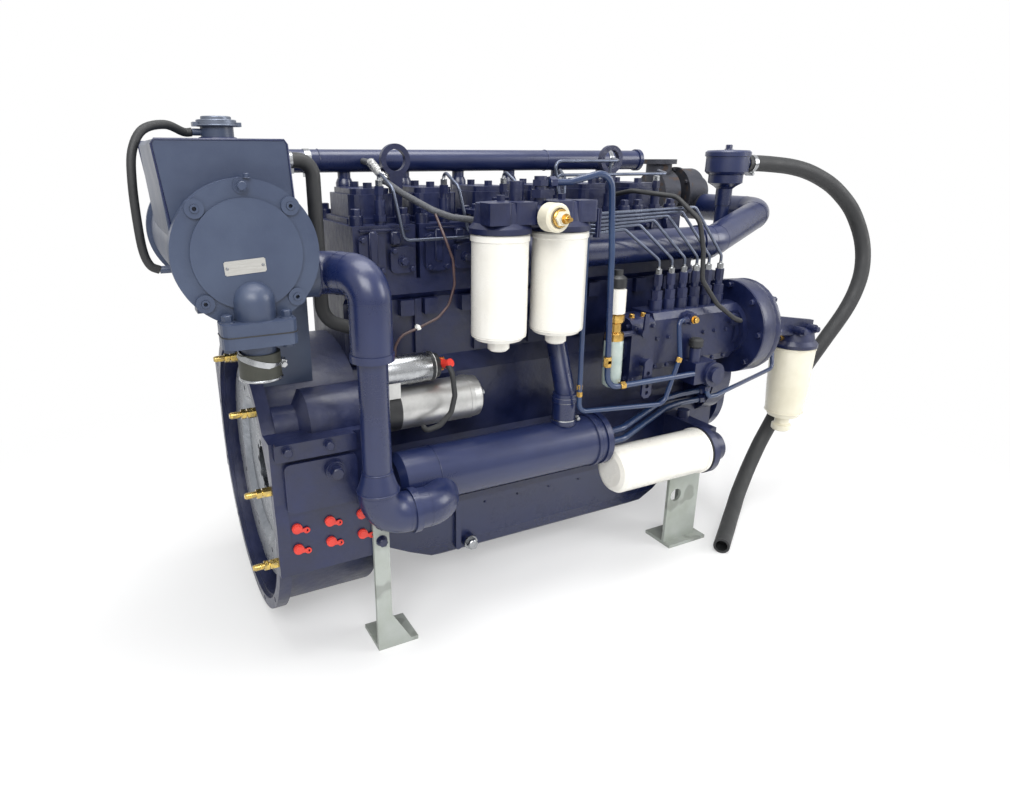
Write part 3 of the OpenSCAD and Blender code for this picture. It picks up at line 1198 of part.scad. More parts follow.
// Starter motor with its solenoid, armature and sliding pinion
motor_x0 = housing_l;
motor_x1 = motor_x0 + 234;
armature_r = 28;
module starter_motor() color("#c8c6bf")
    difference() {
        union() {
            cyl_x(124, motor_x0 + eps, nose_r, starter_y, starter_z);
            cyl_x(motor_x0, motor_x0 + 12, nose_r + 12, starter_y, starter_z);
            turned_x(motor_x0 + 11, starter_y, starter_z) polygon([[0, 0], [nose_r, 0],
                [starter_r, 34], [starter_r, 36], [0, 36]]);
            cyl_x(motor_x0 + 46, motor_x1 - 22, starter_r, starter_y, starter_z);
            turned_x(motor_x1 - 23, starter_y, starter_z) polygon([[0, 0], [starter_r, 0],
                [starter_r - 2, 16], [starter_r - 12, 23], [0, 23]]);
            cyl_x(motor_x0 + 30, 321, 27, starter_y - 14, starter_z + 76);
            cyl_x(318, 330, 22, starter_y - 14, starter_z + 76);
            box(motor_x0 + 20, motor_x0 + 60, starter_y - 36, starter_y + 12, starter_z + 30,
                starter_z + 70);
            for (y = [-10, 8])
                cyl_x(328, 344, 4, starter_y - 14 + y, starter_z + 80);
        }
        cyl_x(116, motor_x1 - 8, shaft_r + run_fit, starter_y, starter_z);
        cyl_x(motor_x0 + 60, motor_x1 - 30, armature_r + 1, starter_y, starter_z);
    }
module starter_armature() color("#b2703a")
    union() {
        cyl_x(pinion_x - pinion_travel - 6, motor_x1 - 12, shaft_r, starter_y, starter_z);
        cyl_x(motor_x0 + 66, motor_x1 - 70, armature_r, starter_y, starter_z);
        cyl_x(motor_x1 - 62, motor_x1 - 36, armature_r - 8, starter_y, starter_z);
    }
module starter_pinion() color("#9a9ea4")
    difference() {
        union() {
            translate([0, starter_y, starter_z]) along_x(pinion_x, pinion_x + pinion_w)
                polygon(gear_points(pinion_teeth, ring_m, pinion_start));
            cyl_x(pinion_x + pinion_w - eps, pinion_x + pinion_w + 20, 22, starter_y, starter_z);
        }
        cyl_x(pinion_x - eps, pinion_x + 60, shaft_r + run_fit, starter_y, starter_z);
    }

// Crankcase breather on its elbow, with the hose spigot
breather_x = block_x1 + 152;
breather_y = -50;
foot_x = case_x + 36;
breather_z = 486;
spigot_z = breather_z + 96;
module breather() color("#2b3156")
    union() {
        pipe([[breather_x, breather_y, breather_z + 10], [breather_x, breather_y, 374],
              [foot_x, breather_y, 374], [foot_x, breather_y, case_top]], 32, 17);
        turned_z(breather_x, breather_y, breather_z) polygon([[0, 0], [19, 0], [19, 38], [26, 44],
            [40, 52], [40, 70], [46, 74], [50, 78], [50, 112], [53, 113], [53, 122],
            [48, 126], [0, 128]]);
        cyl_x(breather_x + 30, breather_x + 61, hose_d / 2 - 3, breather_y, spigot_z);
        cyl_z(case_top, case_top + 8, 26, foot_x, breather_y);
    }
hose_r = hose_d / 2;
hose_route = [[1243.3, -50, 582], [1291, -50, 582], [1339, -56, 579], [1386, -65, 574],
    [1433, -74, 564], [1479, -81, 548], [1523, -88, 527], [1563, -94, 500],
    [1597, -102, 468], [1622, -111, 429], [1637, -122, 386], [1639, -133, 342],
    [1629, -143, 298], [1611, -148, 255], [1587, -150, 215], [1560, -148, 176],
    [1531, -144, 137], [1504, -139, 97], [1479, -132, 55], [1456, -126, 12],
    [1433, -121, -31], [1409, -117, -72], [1385, -117, -112], [1358, -120, -149],
    [1329, -128, -183], [1296, -141, -213], [1259, -160, -237], [1219, -183, -256],
    [1179, -210, -270], [1138, -238, -278], [1099, -266, -281], [1060, -294, -281],
    [1021, -322, -281]];
module breather_hose() color("#1b1c1f")
    sweep(hose_route, hose_r, 14);

// Fuel prefilter on its bracket at the front
prefilter_x = block_x1 + 325;
prefilter_y = -178;
prefilter_r = 56;
prefilter_top = 141;
module prefilter() color("#e9e4d3")
    turned_z(prefilter_x, prefilter_y, prefilter_top) polygon([[0, 0], [prefilter_r - 3, 0],
        [prefilter_r - 2, -4], [prefilter_r - 5, -100], [prefilter_r - 10, -176],
        [prefilter_r - 18, -190], [18, -194], [18, -212], [24, -216], [24, -228], [20, -232],
        [0, -232]]);
module prefilter_head() color("#1c2244")
    union() {
        turned_z(prefilter_x, prefilter_y, prefilter_top) polygon([[0, 0],
            [prefilter_r + 1, 0], [prefilter_r + 1, 8], [prefilter_r - 8, 18],
            [prefilter_r - 14, 44], [20, 52], [0, 52]]);
        along_y(prefilter_y - 24, prefilter_y - 12) polygon([[cover_x + cover_t + 7, 250],
            [prefilter_x + 30, 208], [prefilter_x + 30, 176], [prefilter_x - 40, 176],
            [cover_x + cover_t + 7, 196]]);
        box(cover_x + cover_t - 2, cover_x + cover_t + 8, prefilter_y - 34, prefilter_y + 6, 190, 262);
        cyl_y(prefilter_y - 44, prefilter_y - 10, 11, prefilter_x - 32, 188);
        cyl_y(prefilter_y - 44, prefilter_y - 10, 11, prefilter_x + 14, 190);
        cyl_x(prefilter_x - 48, prefilter_x, 9, prefilter_y, 165);
    }

// Lifting eyes between the rocker covers
eye_y = -15;
eye_z = deck_z + 212;
eye_r = 20;
eye_t = 6;             // half the eye's thickness
module lifting_eye(x)
    difference() {
        union() {
            cyl_y(eye_y - eye_t, eye_y + eye_t, 30, x, eye_z);
            along_y(eye_y - eye_t, eye_y + eye_t) polygon([[x - 9, head_z1 + 8], [x + 9, head_z1 + 8],
                [x + 14, eye_z - 24], [x - 14, eye_z - 24]]);
            box(x - 11, x + 11, eye_y - 18, eye_y + 22, head_z1, head_z1 + 9);
        }
        cyl_y(eye_y - 8, eye_y + 8, eye_r, x, eye_z);
    }
module lifting_eyes() color("#2b3156") {
    lifting_eye(cyl_at(0) + pitch / 2);
    lifting_eye(cyl_at(4) + pitch / 2);
}

// Angle legs that stand the engine on the ground
leg_t = 8;
foot_hole_r = 9;
module rear_leg()
    difference() {
        union() {
            box(168, housing_l + leg_t, -pad_w - leg_t, -pad_w, ground_z, -8);
            box(housing_l, housing_l + leg_t, -pad_w - leg_t, -212, ground_z, -8);
            box(168, 250, -pad_w - leg_t, -200, ground_z, ground_z + leg_t);
            along_y(-pad_w - leg_t, -pad_w) polygon([[188, ground_z], [240, ground_z],
                [188, ground_z + 90]]);
        }
        cyl_z(ground_z - eps, ground_z + leg_t + eps, foot_hole_r, 222, -236);
    }
front_leg_x0 = 925;
front_leg_x1 = 1020;
module front_leg()
    difference() {
        union() {
            box(front_leg_x0, front_leg_x1, -230, -222, ground_z, -62);
            box(front_leg_x1 - leg_t, front_leg_x1, -230, -165, ground_z, -62);
            box(front_leg_x0, front_leg_x1, -230, -skirt_w, -pan_rail_h + rail_t, -62);
            box(front_leg_x0, front_leg_x1 + 20, -250, -165, ground_z, ground_z + leg_t);
        }
        cyl_y(-231, -221, 16, front_leg_x0 + 24, -170);
        cyl_z(ground_z - eps, ground_z + leg_t + eps, foot_hole_r, front_leg_x0 + 47, -198);
    }
module support_legs() color("#aeb2ac")
    for (s = [0, 1]) mirror([0, s, 0]) {
        rear_leg();
        front_leg();
    }

cylinder_block();
crankshaft();
flywheel();
ring_gear();
crank_pulley();
pistons_outer();
pistons_middle();
pistons_centre();
camshaft();
pump_drive();
cylinder_heads();
rocker_covers();
oil_pan();
flywheel_housing();
housing_plugs();
flange_studs();
timing_case();
timing_cover();
coolant_pulley();
alternator();
alternator_pulley();
drive_belt();
intake_manifold();
intake_elbow();
exhaust_manifold();
turbo_housing();
turbo_rotor();
heat_exchanger();
exchanger_cap();
outlet_flange();
outlet_hose();
expansion_tank();
tank_cap();
overflow_hose();
coolant_rail();
coolant_pipe();
oil_cooler();
cooler_riser();
oil_filter();
oil_filter_head();
fuel_filters();
fuel_filter_head();
fuel_valve();
injection_pump();
speed_lever();
stop_lever();
primer_plunger();
injection_lines();
injectors();
fuel_pipes();
stop_solenoid();
starter_motor();
starter_armature();
starter_pinion();
breather();
breather_hose();
prefilter_head();
prefilter();
lifting_eyes();
support_legs();
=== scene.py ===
"""Looks of an inline marine diesel engine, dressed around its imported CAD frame."""
import math

import bmesh
import bpy
from mathutils import Matrix, Vector


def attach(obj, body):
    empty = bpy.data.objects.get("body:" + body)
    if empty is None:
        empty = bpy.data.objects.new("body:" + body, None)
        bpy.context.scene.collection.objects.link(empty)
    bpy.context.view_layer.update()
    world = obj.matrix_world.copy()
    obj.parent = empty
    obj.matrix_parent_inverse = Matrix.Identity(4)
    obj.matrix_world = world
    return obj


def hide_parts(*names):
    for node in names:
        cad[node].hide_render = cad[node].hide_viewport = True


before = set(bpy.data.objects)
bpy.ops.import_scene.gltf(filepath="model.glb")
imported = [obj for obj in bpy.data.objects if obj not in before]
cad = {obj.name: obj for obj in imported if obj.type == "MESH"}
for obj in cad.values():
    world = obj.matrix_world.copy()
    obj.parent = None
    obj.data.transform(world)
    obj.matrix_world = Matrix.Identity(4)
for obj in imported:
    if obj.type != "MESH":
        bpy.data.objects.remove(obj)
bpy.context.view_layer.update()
MM = 0.001

# Camera at the photograph's place: a hand-held wide view from the flywheel end of the pump
# side, a little above the engine. The optic axis lies left of the picture's middle, in pixels.
camera_place = Vector((-193.5, -1345.2, 599.4)) * MM
camera_heading = math.radians(62.82)
camera_drop = math.radians(19.22)
camera_lens = 24.95
picture_width = 1010
optic_left = 40

look = Vector((math.cos(camera_heading) * math.cos(camera_drop),
               math.sin(camera_heading) * math.cos(camera_drop), -math.sin(camera_drop)))
side = look.cross(Vector((0, 0, 1))).normalized()
rise = side.cross(look)
camera_data = bpy.data.cameras.new("photo_camera")
camera_data.lens = camera_lens
camera_data.sensor_width = 36
camera_data.sensor_fit = "HORIZONTAL"
camera_data.shift_x = optic_left / picture_width
camera = bpy.data.objects.new("photo_camera", camera_data)
camera.matrix_world = Matrix.Translation(camera_place) @ Matrix(
    (side, rise, -look)).transposed().to_4x4()
bpy.context.scene.collection.objects.link(camera)
bpy.context.scene.camera = camera
bpy.context.scene.view_settings.view_transform = "Standard"


# Breather hose: black wrapped rubber, 38 mm outside, pushed on the breather's spigot. It
# arches out over the front, comes down behind the prefilter and lies on the ground, open.
HOSE_RADIUS = 19 * MM
HOSE_ROUTE = [
    (1243.3, -50, 582), (1291, -50, 582), (1339, -56, 579), (1386, -65, 574), (1433, -74, 564),
    (1479, -81, 548), (1523, -88, 527), (1563, -94, 500), (1597, -102, 468), (1622, -111, 429),
    (1637, -122, 386), (1639, -133, 342), (1629, -143, 298), (1611, -148, 255),
    (1587, -150, 215), (1560, -148, 176), (1531, -144, 137), (1504, -139, 97),
    (1479, -132, 55), (1456, -126, 12), (1433, -121, -31), (1409, -117, -72),
    (1385, -117, -112), (1358, -120, -149), (1329, -128, -183), (1296, -141, -213),
    (1259, -160, -237), (1219, -183, -256), (1179, -210, -270), (1138, -238, -278),
    (1099, -266, -281), (1060, -294, -281), (1021, -322, -281)]


def flowing(points, parts=4):
    """A smooth path in metres through millimetre points, with its ends kept straight."""
    knots = [Vector(p) * MM for p in points]
    knots = [2 * knots[0] - knots[1]] + knots + [2 * knots[-1] - knots[-2]]
    path = []
    for a, b, c, d in zip(knots, knots[1:], knots[2:], knots[3:]):
        for i in range(parts):
            t = i / parts
            path.append((2 * b + (c - a) * t + (2 * a - 5 * b + 4 * c - d) * t * t
                         + (3 * b - a - 3 * c + d) * t ** 3) / 2)
    return path + [knots[-2]]


def link(name, mesh, material=None):
    piece = bpy.data.objects.new(name, mesh)
    bpy.context.scene.collection.objects.link(piece)
    if material:
        mesh.materials.append(material)
    return piece


def smooth(mesh, angle=40):
    """Shades a mesh smooth, with edges over an angle in degrees left sharp."""
    for face in mesh.polygons:
        face.use_smooth = True
    mesh.set_sharp_from_angle(angle=math.radians(angle))
    return mesh


def tube(bm, path, radius, sides=16, hollow=0.0):
    """A closed tube along a path; a hollow one has a bore, open to one diameter deep."""
    count = len(path)
    tangents = [(path[min(i + 1, count - 1)] - path[max(i - 1, 0)]).normalized()
                for i in range(count)]
    across = tangents[0].orthogonal().normalized()
    rings = []
    for point, tangent in zip(path, tangents):
        across = (across - tangent * across.dot(tangent)).normalized()
        other = tangent.cross(across)
        rings.append([bm.verts.new(point + radius * (
            across * math.cos(math.tau * k / sides) + other * math.sin(math.tau * k / sides)))
            for k in range(sides)])
    for low, high in zip(rings, rings[1:]):
        for k in range(sides):
            n = (k + 1) % sides
            bm.faces.new((low[k], low[n], high[n], high[k]))
    for ring, point, outward, flip in ((rings[0], path[0], -tangents[0], True),
                                       (rings[-1], path[-1], tangents[-1], False)):
        inner = ring
        if hollow:
            mouth = [bm.verts.new(point + (v.co - point) * hollow / radius) for v in ring]
            floor = [bm.verts.new(v.co - outward * radius * 2) for v in mouth]
            for a, b in ((ring, mouth), (mouth, floor)):
                for k in range(sides):
                    n = (k + 1) % sides
                    quad = (a[k], a[n], b[n], b[k])
                    bm.faces.new(tuple(reversed(quad)) if flip else quad)
            inner = floor
        bm.faces.new(tuple(reversed(inner)) if flip else tuple(inner))


def keep(name, bm, material, body, angle=40):
    """Turns a bmesh into a finished piece that rides on a body."""
    mesh = bpy.data.meshes.new(name)
    bm.to_mesh(mesh)
    bm.free()
    piece = link(name, smooth(mesh, angle), material)
    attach(piece, body)
    return piece


class Value:
    """A node's output socket that adds Math nodes where it is used in a sum."""

    def __init__(self, tree, socket):
        self.tree, self.socket = tree, socket

    def calc(self, operation, first, second):
        return add(self.tree, "ShaderNodeMath", {"operation": operation}, {0: first, 1: second})

    def __add__(self, other):
        return self.calc("ADD", self, other)

    def __sub__(self, other):
        return self.calc("SUBTRACT", self, other)

    def __rsub__(self, other):
        return self.calc("SUBTRACT", other, self)

    def __mul__(self, other):
        return self.calc("MULTIPLY", self, other)

    __radd__ = __add__
    __rmul__ = __mul__


def add(tree, kind, settings=None, values=None, output=0):
    """Adds one node: its settings first, then its sockets' values or links."""
    node = tree.nodes.new(kind)
    for key, setting in (settings or {}).items():
        if key == "stops":
            ramp = node.color_ramp
            while len(ramp.elements) < len(setting):
                ramp.elements.new(0.5)
            for element, (place, level) in zip(ramp.elements, setting):
                element.position = place
                element.color = (level, level, level, 1)
        else:
            setattr(node, key, setting)
    for key, value in (values or {}).items():
        if isinstance(value, Value):
            tree.links.new(value.socket, node.inputs[key])
        else:
            node.inputs[key].default_value = value
    return Value(tree, node.outputs[output])


def colour(code):
    """A paint code such as 1b2142 as linear red, green, blue and alpha."""
    parts = [int(code[i:i + 2], 16) / 255 for i in (0, 2, 4)]
    return tuple(c / 12.92 if c < 0.04045 else ((c + 0.055) / 1.055) ** 2.4
                 for c in parts) + (1,)


def blend_colour(tree, amount, first, second):
    """Mixes two colours by an amount; a plain colour goes on its socket."""
    node = tree.nodes.new("ShaderNodeMix")
    node.data_type = "RGBA"
    for index, value in ((0, amount), (6, first), (7, second)):
        if isinstance(value, Value):
            tree.links.new(value.socket, node.inputs[index])
        else:
            node.inputs[index].default_value = value
    return Value(tree, node.outputs[2])


def finish(name, main, second, blotch, rough, metal=0.0, grain=(420, 0.00025), coat=0.0,
           spots=None, dust_and_top_light=None, streak=None, orange=None):
    """A surface that drifts between two colours, with a grain, and with dust and painted top
    light on its top faces.

    rough and grain are the roughness's two ends and the bump's scale and height in metres.
    spots holds a colour, a scale, a threshold and a strength, and the top-face tint a colour and
    a strength: dust, and where that colour is lighter than the paint, painted top light. streak
    stretches the drift, and orange is the scale of an enamel's orange peel.
    """
    material = bpy.data.materials.new(name)
    material.use_nodes = True
    tree = material.node_tree
    tree.nodes.clear()
    place = add(tree, "ShaderNodeTexCoord", output=3)
    drawn = place
    if streak:
        drawn = add(tree, "ShaderNodeMapping", values={"Vector": place, "Scale": streak})
    cloud = add(tree, "ShaderNodeTexNoise", values={
        "Vector": drawn, "Scale": blotch, "Detail": 5.0, "Roughness": 0.6})
    cloud = add(tree, "ShaderNodeValToRGB", {"stops": [(0.35, 0), (0.68, 1)]}, {0: cloud})
    fine = add(tree, "ShaderNodeTexNoise", values={
        "Vector": place, "Scale": grain[0], "Detail": 3.0, "Roughness": 0.65})
    base = blend_colour(tree, cloud, colour(main), colour(second))
    roughness = cloud * (rough[1] - rough[0]) + rough[0] + (fine - 0.5) * 0.12
    if spots:
        dots = add(tree, "ShaderNodeTexNoise", values={
            "Vector": place, "Scale": spots[1], "Detail": 2.0})
        dots = add(tree, "ShaderNodeValToRGB", {"stops": [(spots[2], 0), (spots[2] + 0.05, 1)]},
                   {0: dots})
        base = blend_colour(tree, dots * spots[3], base, colour(spots[0]))
        roughness = roughness + dots * 0.15
    # Top faces take a second colour through noise: dust, and where that colour is lighter than
    # the paint, a painted highlight standing in for the light from above.
    if dust_and_top_light:
        facing = add(tree, "ShaderNodeSeparateXYZ", values={
            0: add(tree, "ShaderNodeTexCoord", output=1)}, output=2)
        facing = add(tree, "ShaderNodeValToRGB", {"stops": [(0.25, 0), (1.0, 1)]}, {0: facing})
        drift = add(tree, "ShaderNodeTexNoise", values={
            "Vector": place, "Scale": 22.0, "Detail": 6.0, "Roughness": 0.7})
        drift = add(tree, "ShaderNodeValToRGB", {"stops": [(0.3, 0), (0.75, 1)]}, {0: drift})
        base = blend_colour(tree, facing * drift * dust_and_top_light[1], base, colour(dust_and_top_light[0]))
        roughness = roughness + facing * drift * 0.2
    height = fine
    if orange:
        height = height * 0.3 + add(tree, "ShaderNodeTexNoise", values={
            "Vector": place, "Scale": orange, "Detail": 1.0, "Roughness": 0.4})
    bump = add(tree, "ShaderNodeBump", values={
        "Strength": 1.0, "Distance": grain[1], "Height": height})
    shader = add(tree, "ShaderNodeBsdfPrincipled", values={
        "Base Color": base, "Roughness": roughness, "Metallic": metal, "Normal": bump,
        "Coat Weight": coat, "Coat Roughness": 0.16})
    ending = tree.nodes.new("ShaderNodeOutputMaterial")
    tree.links.new(shader.socket, ending.inputs[0])
    return material


# Black rubber, its top faces tinted lighter grey: dust and painted top light.
hose_rubber = finish("hose_rubber", "18191b", "242527", blotch=30, rough=(0.5, 0.7),
                     grain=(900, 0.0002), dust_and_top_light=("4c4f4e", 0.3))
hose_path = flowing(HOSE_ROUTE, 3)
bm = bmesh.new()
tube(bm, hose_path, HOSE_RADIUS, sides=32, hollow=HOSE_RADIUS * 0.72)
hose = keep("breather_hose_cover", bm, hose_rubber, "engine", 50)
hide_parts("breather_hose")
hose_length = sum((b - a).length for a, b in zip(hose_path, hose_path[1:]))

# Worm clamps: a thin steel band round a hose, with a screw in a housing on the outside. They
# hold the breather hose, the vent hose, the water outlet's sleeve and the riser's sleeve, and
# the coolant rail has two as straps. Sizes are millimetres.
bright_steel = finish("bright_steel", "a9abad", "8f9194", blotch=60, rough=(0.2, 0.34),
                      metal=1.0, grain=(900, 0.00008))


def new_tree(name, sockets):
    """A tree that grows something on each point of its mesh, with named inputs."""
    tree = bpy.data.node_groups.new(name, "GeometryNodeTree")
    tree.interface.new_socket("Geometry", in_out="INPUT", socket_type="NodeSocketGeometry")
    for label, level in sockets.items():
        tree.interface.new_socket(label, in_out="INPUT",
                                  socket_type="NodeSocketFloat").default_value = level
    tree.interface.new_socket("Finish", in_out="INPUT", socket_type="NodeSocketMaterial")
    tree.interface.new_socket("Geometry", in_out="OUTPUT", socket_type="NodeSocketGeometry")
    start = tree.nodes.new("NodeGroupInput")
    return tree, {socket.name: Value(tree, socket) for socket in start.outputs if socket.name}


def disc(tree, sides, low, high, depth, lift=0.0):
    """A cylinder or cone that stands on the height given as lift."""
    shape = add(tree, "GeometryNodeMeshCone", values={
        "Vertices": sides, "Radius Bottom": low, "Radius Top": high, "Depth": depth})
    raised = add(tree, "ShaderNodeCombineXYZ", values={"Z": lift})
    return add(tree, "GeometryNodeTransform", values={"Geometry": shape, "Translation": raised})


def hoop(tree, radius, width, thick, lift, sides=40):
    """A flat band round the Z axis."""
    circle = add(tree, "GeometryNodeCurvePrimitiveCircle", values={
        "Resolution": sides, "Radius": radius})
    outline = add(tree, "GeometryNodeCurvePrimitiveQuadrilateral", values={
        "Width": thick, "Height": width})
    band = add(tree, "GeometryNodeCurveToMesh", values={"Curve": circle,
                                                        "Profile Curve": outline})
    raised = add(tree, "ShaderNodeCombineXYZ", values={"Z": lift})
    return add(tree, "GeometryNodeTransform", values={"Geometry": band, "Translation": raised})


def end_tree(tree, inputs, parts):
    """Puts the joined parts on the points, turned to their way and sized by their width."""
    joined = tree.nodes.new("GeometryNodeJoinGeometry")
    for part in parts:
        tree.links.new(part.socket, joined.inputs[0])
    way = add(tree, "GeometryNodeInputNamedAttribute", {"data_type": "FLOAT_VECTOR"},
              {"Name": "way"})
    width = add(tree, "GeometryNodeInputNamedAttribute", {"data_type": "FLOAT"},
                {"Name": "width"})
    turned = add(tree, "FunctionNodeAlignRotationToVector", {"axis": "Z"}, {"Vector": way})
    placed = add(tree, "GeometryNodeInstanceOnPoints", values={
        "Points": inputs["Geometry"], "Instance": Value(tree, joined.outputs[0]),
        "Rotation": turned, "Scale": width})
    real = add(tree, "GeometryNodeRealizeInstances", values={0: placed})
    done = add(tree, "GeometryNodeSetMaterial", values={
        "Geometry": real, "Material": inputs["Finish"]})
    tree.links.new(done.socket, tree.nodes.new("NodeGroupOutput").inputs[0])
    return tree


def grow(name, tree, places, material, body, slot, **sizes):
    """Grows a tree on places, each a point in millimetres, its way and its width."""
    mesh = bpy.data.meshes.new(name)
    mesh.from_pydata([Vector(point) * MM for point, way, width in places], [], [])
    mesh.attributes.new("way", "FLOAT_VECTOR", "POINT")
    mesh.attributes.new("width", "FLOAT", "POINT")
    for i, (point, way, width) in enumerate(places):
        mesh.attributes["way"].data[i].vector = Vector(way).normalized()
        mesh.attributes["width"].data[i].value = width * MM
    seed = link(name + "_seed", mesh)
    modifier = seed.modifiers.new("grow", "NODES")
    modifier.node_group = tree
    sizes["Finish"] = material
    for item in tree.interface.items_tree:
        if item.in_out == "INPUT" and item.name.replace(" ", "_") in sizes:
            modifier[item.identifier] = sizes[item.name.replace(" ", "_")]
    depsgraph = bpy.context.evaluated_depsgraph_get()
    made = bpy.data.meshes.new_from_object(seed.evaluated_get(depsgraph), depsgraph=depsgraph)
    seed.modifiers.clear()
    bpy.data.objects.remove(seed)
    piece = link(name, smooth(made, 35))
    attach(piece, body)
    return piece


band_thick = 1.4
housing_size = (8.0, 15.0, 12.0)
screw_low, screw_high, screw_long = 4.2, 4.0, 24.0
clamp_tree, inputs = new_tree("worm_clamp", {"Radius": 20.0, "Band": 11.0})
housing = add(clamp_tree, "GeometryNodeTransform", values={
    "Geometry": add(clamp_tree, "GeometryNodeMeshCube", values={"Size": housing_size}),
    "Translation": add(clamp_tree, "ShaderNodeCombineXYZ", values={
        "X": inputs["Radius"] + 3.5})})
screw = add(clamp_tree, "GeometryNodeTransform", values={
    "Geometry": disc(clamp_tree, 6, screw_low, screw_high, screw_long, -screw_long / 2),
    "Rotation": (math.pi / 2, 0, 0),
    "Translation": add(clamp_tree, "ShaderNodeCombineXYZ", values={
        "X": inputs["Radius"] + 4.5})})
end_tree(clamp_tree, inputs, [
    hoop(clamp_tree, inputs["Radius"], inputs["Band"], band_thick, 0.0), housing, screw])


def worm_clamp(name, point, way, radius, band):
    grow(name, clamp_tree, [(point, way, 1)], bright_steel, "engine", "steel",
         Radius=radius, Band=band)


DOWN, UP = (0, 0, -1), (0, 0, 1)
NEAR, FAR = (0, -1, 0), (0, 1, 0)
BACK, FRONT = (-1, 0, 0), (1, 0, 0)
spigot_y, spigot_z = HOSE_ROUTE[0][1:]
worm_clamp("breather_hose_clamp", (1262, spigot_y, spigot_z), FRONT, 19.8, 12.0)


# Castings: crankcase, heads, covers, flywheel housing, pump and brackets, in iron and light alloy
# under one coat of dark navy enamel that was sprayed on the finished engine, so it has a faint
# orange peel and covers the bolts too. Its top faces are painted lighter: partly dust, partly
# painted top light.
def dress(names, material):
    """Gives CAD nodes their finish; their meshes stay as they are."""
    for name in names.split():
        mesh = cad[name].data
        mesh.materials.clear()
        mesh.materials.append(material)


cast_navy = finish("cast_navy", "0b1230", "131c42", blotch=14, rough=(0.3, 0.48),
                   grain=(330, 0.0008), coat=0.12, dust_and_top_light=("28315a", 0.3), orange=70.0)
dress("cylinder_block cylinder_heads flywheel_housing timing_case timing_cover rocker_covers "
      "injection_pump fuel_filter_head oil_filter_head prefilter_head lifting_eyes "
      "exhaust_manifold alternator speed_lever stop_lever injectors", cast_navy)
cast_iron = finish("cast_iron", "33363f", "43434a", blotch=30, rough=(0.45, 0.65), metal=0.6,
                   grain=(260, 0.0007), spots=("5a4636", 40.0, 0.6, 0.5))
dress("turbo_housing", cast_iron)

# Hexagon bolts with round washers hold the heads, pan, housing and timing cover. They were
# painted with the engine. The tree's sizes are shares of the width across flats, and each
# place has its point, its way and that width in millimetres.
corner_share = 0.577
washer_share = 0.12
bolt_tree, inputs = new_tree("hexagon_bolt", {"Head": 0.62, "Washer": 0.72, "Tip": 0.0})
end_tree(bolt_tree, inputs, [
    disc(bolt_tree, 24, inputs["Washer"], inputs["Washer"] * 0.97, washer_share),
    disc(bolt_tree, 6, corner_share, corner_share, inputs["Head"], 0.1),
    disc(bolt_tree, 24, 0.5, 0.43, 0.07, inputs["Head"] + 0.1),
    disc(bolt_tree, 16, 0.3, 0.27, inputs["Tip"] + 0.02, inputs["Head"] + 0.1)])

CYLINDER_PITCH = 130
CYLINDERS = [272 + CYLINDER_PITCH * i for i in range(6)]
head_top = 496
head_near = -130
stud_nut, port_bolt, cover_bolt = 17, 14, 9
head_bolts = [((x + s * 46, y, head_top), UP, stud_nut) for x in CYLINDERS for s in (-1, 1)
              for y in (-96, 98)]
head_bolts += [((x + 30, head_near - 2, 416), NEAR, port_bolt) for x in CYLINDERS]
head_bolts += [((x + dx, head_near, z), NEAR, cover_bolt) for x in CYLINDERS
               for dx, z in ((-47, 401), (-11, 401), (-47, 457), (47, 401), (13, 435))]
grow("head_bolts", bolt_tree, head_bolts, cast_navy, "engine", "navy_paint")

pan_rail_y, pan_rail_low, pan_rail_high = 154.5, -102, -76
pan_bolt_pitch = 82
rail_bolts = [((222 + pan_bolt_pitch * i, s * pan_rail_y, z), way, cover_bolt)
              for z, way in ((pan_rail_low, DOWN), (pan_rail_high, UP))
              for i in range(10) for s in (-1, 1)]
grow("pan_bolts", bolt_tree, rail_bolts, cast_navy, "engine", "navy_paint", Washer=0.6)

pad_near, recess_near, leg_far = -284, -290, 280
housing_bolts = [((x, pad_near, 146), NEAR, 14) for x in (27, 97)]
housing_bolts += [((104, recess_near, 98), NEAR, 20)]
housing_bolts += [((183, s * leg_far, z), (0, s, 0), 15) for s in (-1, 1) for z in (-28, -62)]
housing_bolts += [((950 + 44 * i, -230, z), NEAR, 13) for i in (0, 1) for z in (-84, -112)]
grow("housing_bolts", bolt_tree, housing_bolts, cast_navy, "engine", "navy_paint")

LOBE_Y, LOBE_Z = -215.9, 229.3
lobe_back, cover_front, boss_front = 1062, 1116, 1122
lobe_circle = 95.75
timing_bolt = 11
around = [(LOBE_Y + lobe_circle * math.cos(a), LOBE_Z + lobe_circle * math.sin(a))
          for a in (math.radians(45 * k) for k in range(8))]
case_bolts = [((boss_front, y, z), FRONT, timing_bolt) for y, z in around]
case_bolts += [((lobe_back, y, z), BACK, timing_bolt) for y, z in around if y < -150]
case_bolts += [((cover_front, y, z), FRONT, timing_bolt) for y, z in (
    (-140, -80), (-70, -80), (0, -80), (70, -80), (140, -80), (140, -10), (140, 50),
    (108, 125), (108, 200), (108, 270), (108, 330), (40, 330), (-40, 330), (-108, 330))]
grow("timing_bolts", bolt_tree, case_bolts, cast_navy, "engine", "navy_paint")


# Raised bars on the near faces of the heads: over each port an upright rib, a small boss and
# the edge of the joint above, all cast in one with the head and rounded by the mould.
def block(bm, low, high):
    """A box between two corners in millimetres; its points are given back."""
    corners = bmesh.ops.create_cube(bm, size=1)["verts"]
    for vert in corners:
        vert.co = Vector([(high[k] if vert.co[k] > 0 else low[k]) * MM for k in range(3)])
    return corners


casting_round = 2.4
bm = bmesh.new()
for x in CYLINDERS:
    for low, high in (((x - 36, -137, 412), (x - 20, head_near, 472)),
                      ((x + 8, -134, 446), (x + 26, -118, 470)),
                      ((x - 50, -122, 468), (x + 50, -118, 476))):
        edges = {edge for vert in block(bm, low, high) for edge in vert.link_edges}
        bmesh.ops.bevel(bm, geom=list(edges), offset=casting_round * MM, segments=3,
                        affect="EDGES")
keep("head_bars", bm, cast_navy, "engine", 60)
